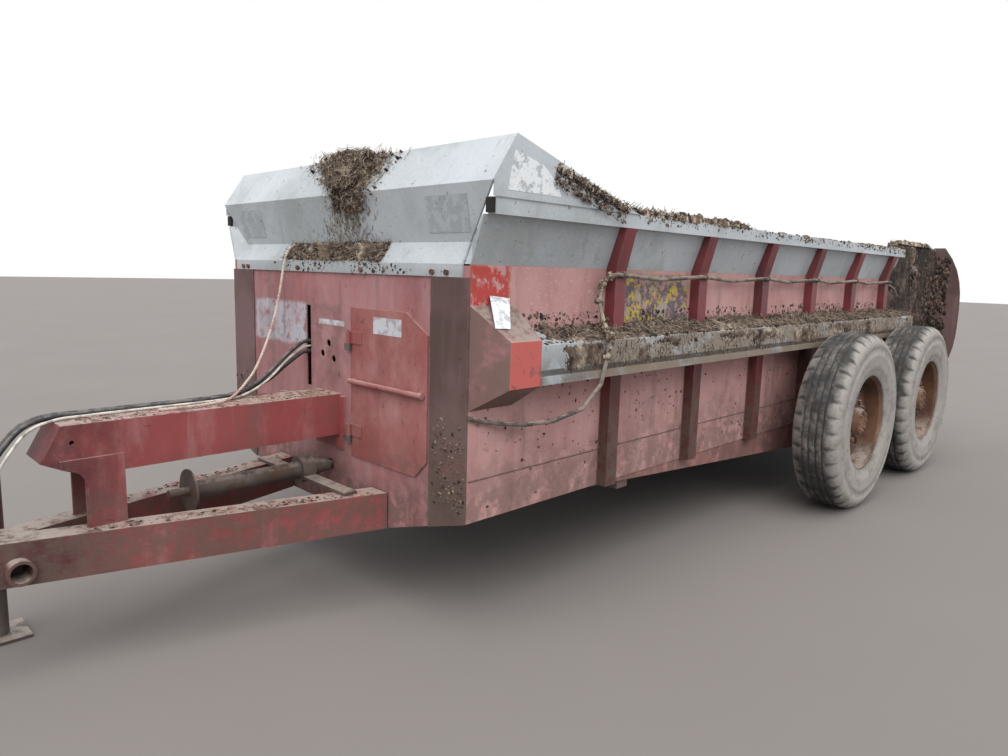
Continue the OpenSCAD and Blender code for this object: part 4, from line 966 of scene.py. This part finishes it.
def muck_on_ledge(side, s, seed):
    """Beds, lumps and straw on the ledge's top and outer face, and lumps on its red nose."""
    litter = Litter(seed, muck_amount[side])
    nose_x = ledge_high_x - 0.12
    corner, up = (ledge_low_x, s * wall_y, ledge_top_z), (0, 0.27 * s, 0.96)
    span = (nose_x - ledge_low_x, 0, 0)
    width = (0, s * (ledge_y - wall_y - 0.004), -0.039)
    top, lifted = (corner, span, width, up), (corner + np.array(up) * 0.012, span, width, up)
    near_wall = (corner, span, (0, s * 0.06, -0.016), up)
    face = ((ledge_low_x, s * (ledge_y - 0.001), ledge_low_z + 0.036), span, (0, 0, 0.108), (0, s, 0))
    nose = ((nose_x, s * (wall_y + 0.01), ledge_top_z - 0.003), (0.30, 0, 0), (0, s * 0.12, -0.035), up)
    litter.bed(top, (520, 16), 0.034, [(40, 10), (12, 5), (4, 3), (2, 2)], 0.20,
               lambda u, v: 1.15 - 0.45 * v, (0.0, 0.85))
    litter.scatter(top, 2600, 90, 0.08, (0.003, 0.011), 1.3, (0.0, 0.7))
    litter.scatter(near_wall, 1000, 30, 0.12, (0.005, 0.016), 1.6, (0.0, 0.5))
    litter.strew(lifted, 4200, 70, 0.12, stalk_length, radius=0.0011, lean=0.35, tones=(0.2, 1.0))
    litter.bed(face, (480, 14), 0.016, [(20, 14), (7, 7), (3, 3)], 0.47,
               lambda u, v: 0.75 + 0.35 * v, (0.1, 0.9))
    litter.scatter(face, 1500, 90, 0.06, (0.002, 0.007), 0.6, (0.05, 0.8))
    litter.strew(face, 700, 40, 0.08, (0.01, 0.04), radius=0.001, lean=0.08, tones=(0.1, 0.9), fall=1.0)
    litter.scatter(nose, 160, 6, 0.05, (0.003, 0.012), 0.5)
    litter.build("ledge_muck_" + side)


def muck_on_walls(side, s, seed):
    """Splashes on the side, clumps on the top rail, and chaff over the spill shield's gusset."""
    litter = Litter(seed, muck_amount[side])
    out, rail_inner_y, rail_width = (0, s, 0), s * (rail_y - 0.038), (0, s * 0.036, 0)
    wall = ((wall_rear_x, s * wall_y, ledge_top_z), (4.2, 0, 0), (0, 0, 0.07), out)
    low_wall = ((wall_rear_x + 0.1, s * wall_y, wall_low_z + 0.02), (4.3, 0, 0), (0, 0, 0.48), out)
    rail = ((wall_rear_x + 0.02, rail_inner_y, rail_top_z), (3.55, 0, 0), rail_width, UP)
    heap, heap_core, heap_straw = (((0.05, rail_inner_y, rail_top_z), along, rail_width, UP)
                                   for along in ((1.1, 0, 0), (1.0, 0, 0), (1.1, 0, 0.01)))
    face = ((wall_rear_x + 0.02, s * (rail_y + 0.0005), rail_top_z - 0.035), (3.6, 0, 0), (0, 0, 0.034), out)
    gusset, edge = (1.168, s * (shield_y - 0.010), rail_top_z + 0.002), (0.45, 0, 0.118)
    over = (-0.26, 0.3 * s, 0.93)
    litter.scatter(wall, 1000, 40, 0.06, (0.003, 0.012), 0.5, (0.1, 0.8))
    litter.scatter(low_wall, 800, 30, 0.1, (0.002, 0.008), 0.35, (0.1, 0.7))
    litter.scatter(rail, 700, 18, 0.10, (0.004, 0.016), 0.7, (0.2, 0.8), share=0.85)
    litter.bed(heap, (110, 8), 0.065, [(16, 8), (6, 4), (2, 2)], 0.22, tones=(0.0, 0.6))
    litter.scatter(heap_core, 900, 12, 0.07, (0.004, 0.014), 2.0, (0.1, 0.9))
    litter.strew(heap_straw, 1100, 14, 0.07, stalk_length, lean=0.4, tones=(0.3, 1.0))
    litter.scatter(face, 420, 14, 0.10, (0.002, 0.009), 0.5, (0.1, 0.7))
    chaff = litter.places((gusset, edge, (0, s * 0.012, 0)), 900, 9, 0.05)
    litter.lumps(chaff, over, (0.004, 0.013), 1.8, (0.0, 0.9))
    litter.straws(chaff, over, (0.01, 0.05), lean=0.4, tones=(0.2, 1.0))
    below = litter.places((gusset, edge, (0.03, s * 0.011, -0.05)), 420, 9, 0.04)
    litter.lumps(below + np.array([0, s * 0.010, 0]), out, (0.002, 0.009), 0.6, (0.0, 0.8))
    litter.build("wall_muck_" + side)


def muck_on_housing(side, s, seed):
    """Thick dark muck that has run down the rear housing, with paler heaps on top."""
    litter = Litter(seed, muck_amount[side])
    out, span = (0, s, 0), wall_rear_x + 0.10 - rear_x
    plate = ((rear_x + 0.02, s * wall_y, 0.62), (span, 0, 0), (0, 0, housing_top_z - 0.63), out)
    flange = ((rear_x + 0.0085, s * (wall_y + 0.005), 0.78), (0, s * 0.13, 0), (0, 0, 0.82), FORWARD)
    top = ((rear_x + 0.25, s * (wall_y - 0.006), housing_top_z - 0.004),
           (span - 0.45, 0, 0), (0, s * 0.012, 0), UP)
    slope = ((rear_x + 0.6, s * wall_y, housing_top_z - 0.14), (span - 0.62, 0, 0), (0, 0, 0.13), out)
    litter.bed(plate, (130, 110), 0.055, [(16, 50), (6, 22), (3, 8), (1, 3)], 0.28,
               lambda u, v: 1.05 - 0.35 * np.abs(v - 0.6), (0.0, 0.42))
    count = {"left": 2800, "right": 1800}[side]
    litter.scatter(plate, count, 60, 0.09, (0.004, 0.018), 1.1, (0.0, 0.5), stretch=2.0)
    litter.scatter(flange, 700, 26, 0.06, (0.004, 0.018), 0.45, stretch=1.6)
    litter.scatter(top, 700, 12, 0.08, (0.007, 0.026), 1.0, (0.2, 0.9))
    litter.scatter(slope, 620, 12, 0.07, (0.006, 0.022), 0.6, (0.35, 0.95))
    litter.strew(slope, 420, 12, 0.07, (0.02, 0.08), fall=1.0)
    litter.build("housing_muck_" + side)


def shifts(ahead, sideways):
    """Offsets by one length forward and an array of lengths to the left."""
    return np.stack([np.full(len(sideways), ahead), sideways, np.zeros(len(sideways))], 1)


def muck_on_front(seed):
    """The clump of straw over the spill shield, and what fell from it to the shelf, beam and rails."""
    litter = Litter(seed)
    top = np.array([front_x - 0.006, 0, seam_z + 0.278])
    slope, upper = np.array([-0.110, 0, shield_top_z - top[2]]), (1, 0, 0.67)
    stalks = {"radius": 0.0011, "tones": (0.2, 1.0)}

    def heap(count, wide, tall, start):
        across = litter.random.normal(0, wide, count)
        upward = litter.random.random(count) ** 0.8 * tall + start
        sideways = across * (0.40 + 0.60 * upward) + 0.15 - 0.13 * upward
        return top + upward[:, None] * slope + shifts(0.0, sideways)

    litter.bed((top + np.array([0, -0.30, 0]), (0, 0.72, 0), slope * 1.04, upper), (90, 40), 0.075,
               [(14, 12), (5, 5), (2, 2)], 0.22,
               lambda u, v: 1.25 * np.exp(-((u - 0.625 + 0.19 * v) / (0.09 + 0.17 * v)) ** 2), (0.1, 0.9))
    litter.lumps(heap(1000, 0.13, 1.04, -0.02), upper, (0.003, 0.010), 2.2, (0.0, 0.7))
    core = heap(600, 0.085, 1.0, 0.0) + np.array([0.020, 0, 0.014])
    litter.lumps(core, upper, (0.003, 0.011), 2.2, (0.0, 0.7))
    litter.straws(heap(3600, 0.135, 1.05, -0.03), upper, stalk_length, lean=0.3, fall=0.3, **stalks)
    core = heap(1700, 0.09, 1.0, 0.0) + np.array([0.032, 0, 0.021])
    litter.straws(core, upper, stalk_length, lean=0.4, fall=0.3, **stalks)

    over, hung, face = np.array([-0.049, 0, -0.199]), 900, (1, 0, -0.24)
    fall = litter.random.random((hung, 1)) ** 1.3
    sideways = litter.random.normal(0.13, 0.06, hung) + (fall[:, 0] * litter.random.normal(-0.03, 0.11, hung))
    hanging = top + fall * over + shifts(0.0, sideways)
    litter.straws(hanging[:560], face, (0.010, 0.035), 0.001, lean=0.08, tones=(0.45, 1.0), fall=0.8)
    litter.lumps(hanging[:320], face, (0.0015, 0.006), 0.6, (0.2, 0.9))
    drop = litter.random.random((700, 1)) ** 1.2 * 0.36
    tail = top + drop * over + shifts(0.008, litter.random.normal(0.14, 0.05, 700))
    litter.lumps(tail[:300], (1, 0, -0.1), (0.003, 0.010), 1.6, (0.0, 0.7))
    litter.straws(tail, (1, 0, -0.1), (0.012, 0.045), lean=0.3, fall=0.5, **stalks)

    shelf = ((front_x - 0.003, -0.38, seam_z + 0.004), (0, 0.76, 0), (-0.050, 0, 0.073), (0.8, 0, 0.6))
    litter.bed(shelf, (90, 12), 0.045, [(12, 8), (4, 4), (2, 2)], 0.42,
               lambda u, v: 0.8 + 0.4 * np.sin(np.pi * u) - 0.25 * (1 - v), (0.1, 0.9))
    litter.scatter(shelf, 900, 9, 0.06, (0.003, 0.010), 1.4, (0.0, 0.7), share=0.85)
    litter.strew(shelf, 1600, 12, 0.07, stalk_length, share=0.85, lean=0.35, **stalks)
    lip = ((front_x, -0.5, seam_z - 0.044), (0, 1.1, 0), (0, 0, 0.04), FORWARD)
    litter.scatter(lip, 160, 7, 0.05, (0.002, 0.008), 0.5, (0.1, 0.6))
    beam, beam_width = (front_x + 0.02, -0.085, beam_top_z), (0, 0.17, 0)
    litter.scatter((beam, (1.0, 0, 0), beam_width, UP), 420, 14, 0.05, (0.002, 0.009), 0.4, (0.1, 0.8))
    litter.strew((beam, (0.95, 0, 0), beam_width, UP), 110, 8, 0.06, (0.02, 0.07), lean=0.03)
    for s in (1, -1):
        rail = ((front_x + 0.05, s * 0.345, 0.4755), (0.95, -s * 0.27, 0), (0, s * 0.055, 0), UP)
        litter.scatter(rail, 260, 10, 0.06, (0.002, 0.010), 0.45, (0.1, 0.8))
        low = ((front_x, s * 0.71, 0.50), (0, s * 0.18, 0), (0, 0, 0.34), FORWARD)
        litter.scatter(low, 240, 10, 0.05, (0.002, 0.009), 0.4, (0.1, 0.7))
    litter.build("front_straw")


def muck_on_hose(seed):
    """The side hose is caked where it climbs over the ledge to the first rib."""
    litter = Litter(seed)
    near = np.array([tuple(v.co) for v in nodes["side_hoses"].data.vertices
                     if 1.17 < v.co.x < 1.42 and v.co.z > 1.0])
    place = near[litter.random.integers(0, len(near), 700)]
    after = near[litter.random.integers(0, len(near), 700)]
    close = np.linalg.norm(place - after, axis=1) < 0.09
    place = np.concatenate([place, (place + litter.random.random((700, 1)) * (after - place))[close]])
    place += litter.random.normal(0, 0.004, place.shape)
    litter.lumps(place, (0, 1, 0.2), (0.003, 0.009), 1.0, (0.3, 0.9))
    litter.build("hose_muck")


def muck_inside(seed):
    """What is left on the floor and on the inner sides of the walls."""
    litter = Litter(seed)
    rear, across = wall_rear_x + 0.05, (0, 2 * wall_y - 0.02, 0)
    floor = ((rear, -wall_y + 0.01, floor_top_z + 0.001), (3.85, 0, 0), across, UP)
    litter.bed(floor, (150, 70), 0.030, [(15, 15), (5, 5), (2, 2)], 0.42)
    litter.scatter(floor, 1000, 60, 0.16, (0.005, 0.022), 0.8)
    litter.strew(floor, 900, 60, 0.16, (0.03, 0.12), tones=(0.3, 1.0))
    for s in (1, -1):
        wall = ((rear, s * (wall_y - 0.005), floor_top_z), (3.9, 0, 0), (0, 0, 0.6), (0, -s, 0))
        litter.scatter(wall, 520, 50, 0.12, (0.004, 0.018), 0.4)
    litter.build("inside_muck")


def add_muck():
    for number, (side, s) in enumerate(SIDES.items()):
        muck_on_ledge(side, s, 11 + number)
        muck_on_walls(side, s, 21 + number)
        muck_on_housing(side, s, 31 + number)
    muck_on_front(41)
    muck_on_hose(43)
    muck_inside(47)


# Floor, lamps and world


def add_stage():
    look = Look("floor")
    look.base("#7d7773", "#857f7b", look.noise(0.7, detail=3))
    dimmer = look.node("LightPath").outputs["Is Camera Ray"]
    look.paint = look.mixed(dimmer, colour("#6f6a66"), look.paint)
    material = look.done(roughness=0.95)
    size = 60.0
    mesh = bpy.data.meshes.new("floor")
    corners = [(-size, -size, 0), (size, -size, 0), (size, size, 0), (-size, size, 0)]
    mesh.from_pydata(corners, [], [(0, 1, 2, 3)])
    mesh.materials.append(material)
    put("ground_plane", mesh)


def add_light():
    """White surroundings that light a little bluish, and one wide soft lamp from the front left."""
    world = bpy.data.worlds.new("world")
    bpy.context.scene.world = world
    world.use_nodes = True
    world.node_tree.nodes.clear()
    shading = Shading(world.node_tree)
    ray = shading.node("LightPath").outputs
    seen = shading.most(ray["Is Camera Ray"], shading.most(ray["Is Glossy Ray"], ray["Is Transmission Ray"]))
    lighting = shading.value("Background", {"Color": colour("#eef2f8"), "Strength": 1.0})
    shown = shading.value("Background", {"Color": (1, 1, 1, 1)})
    shading.node("OutputWorld", {"Surface": shading.value("MixShader", {0: seen, 1: lighting, 2: shown})})

    lamp = bpy.data.lights.new("sky_lamp", "SUN")
    lamp.energy = 2.6
    lamp.angle = math.radians(70)
    lamp.color = (1.0, 0.985, 0.96)
    put("sky_lamp", lamp).rotation_euler = Vector((-0.45, -0.45, -1)).to_track_quat("-Z", "Y").to_euler()


bpy.context.scene.view_settings.view_transform = "Standard"
add_camera()
add_cords()
dress_nodes()
add_tyres()
add_fittings()
add_sheet_forms()
add_labels()
add_muck()
add_stage()
add_light()
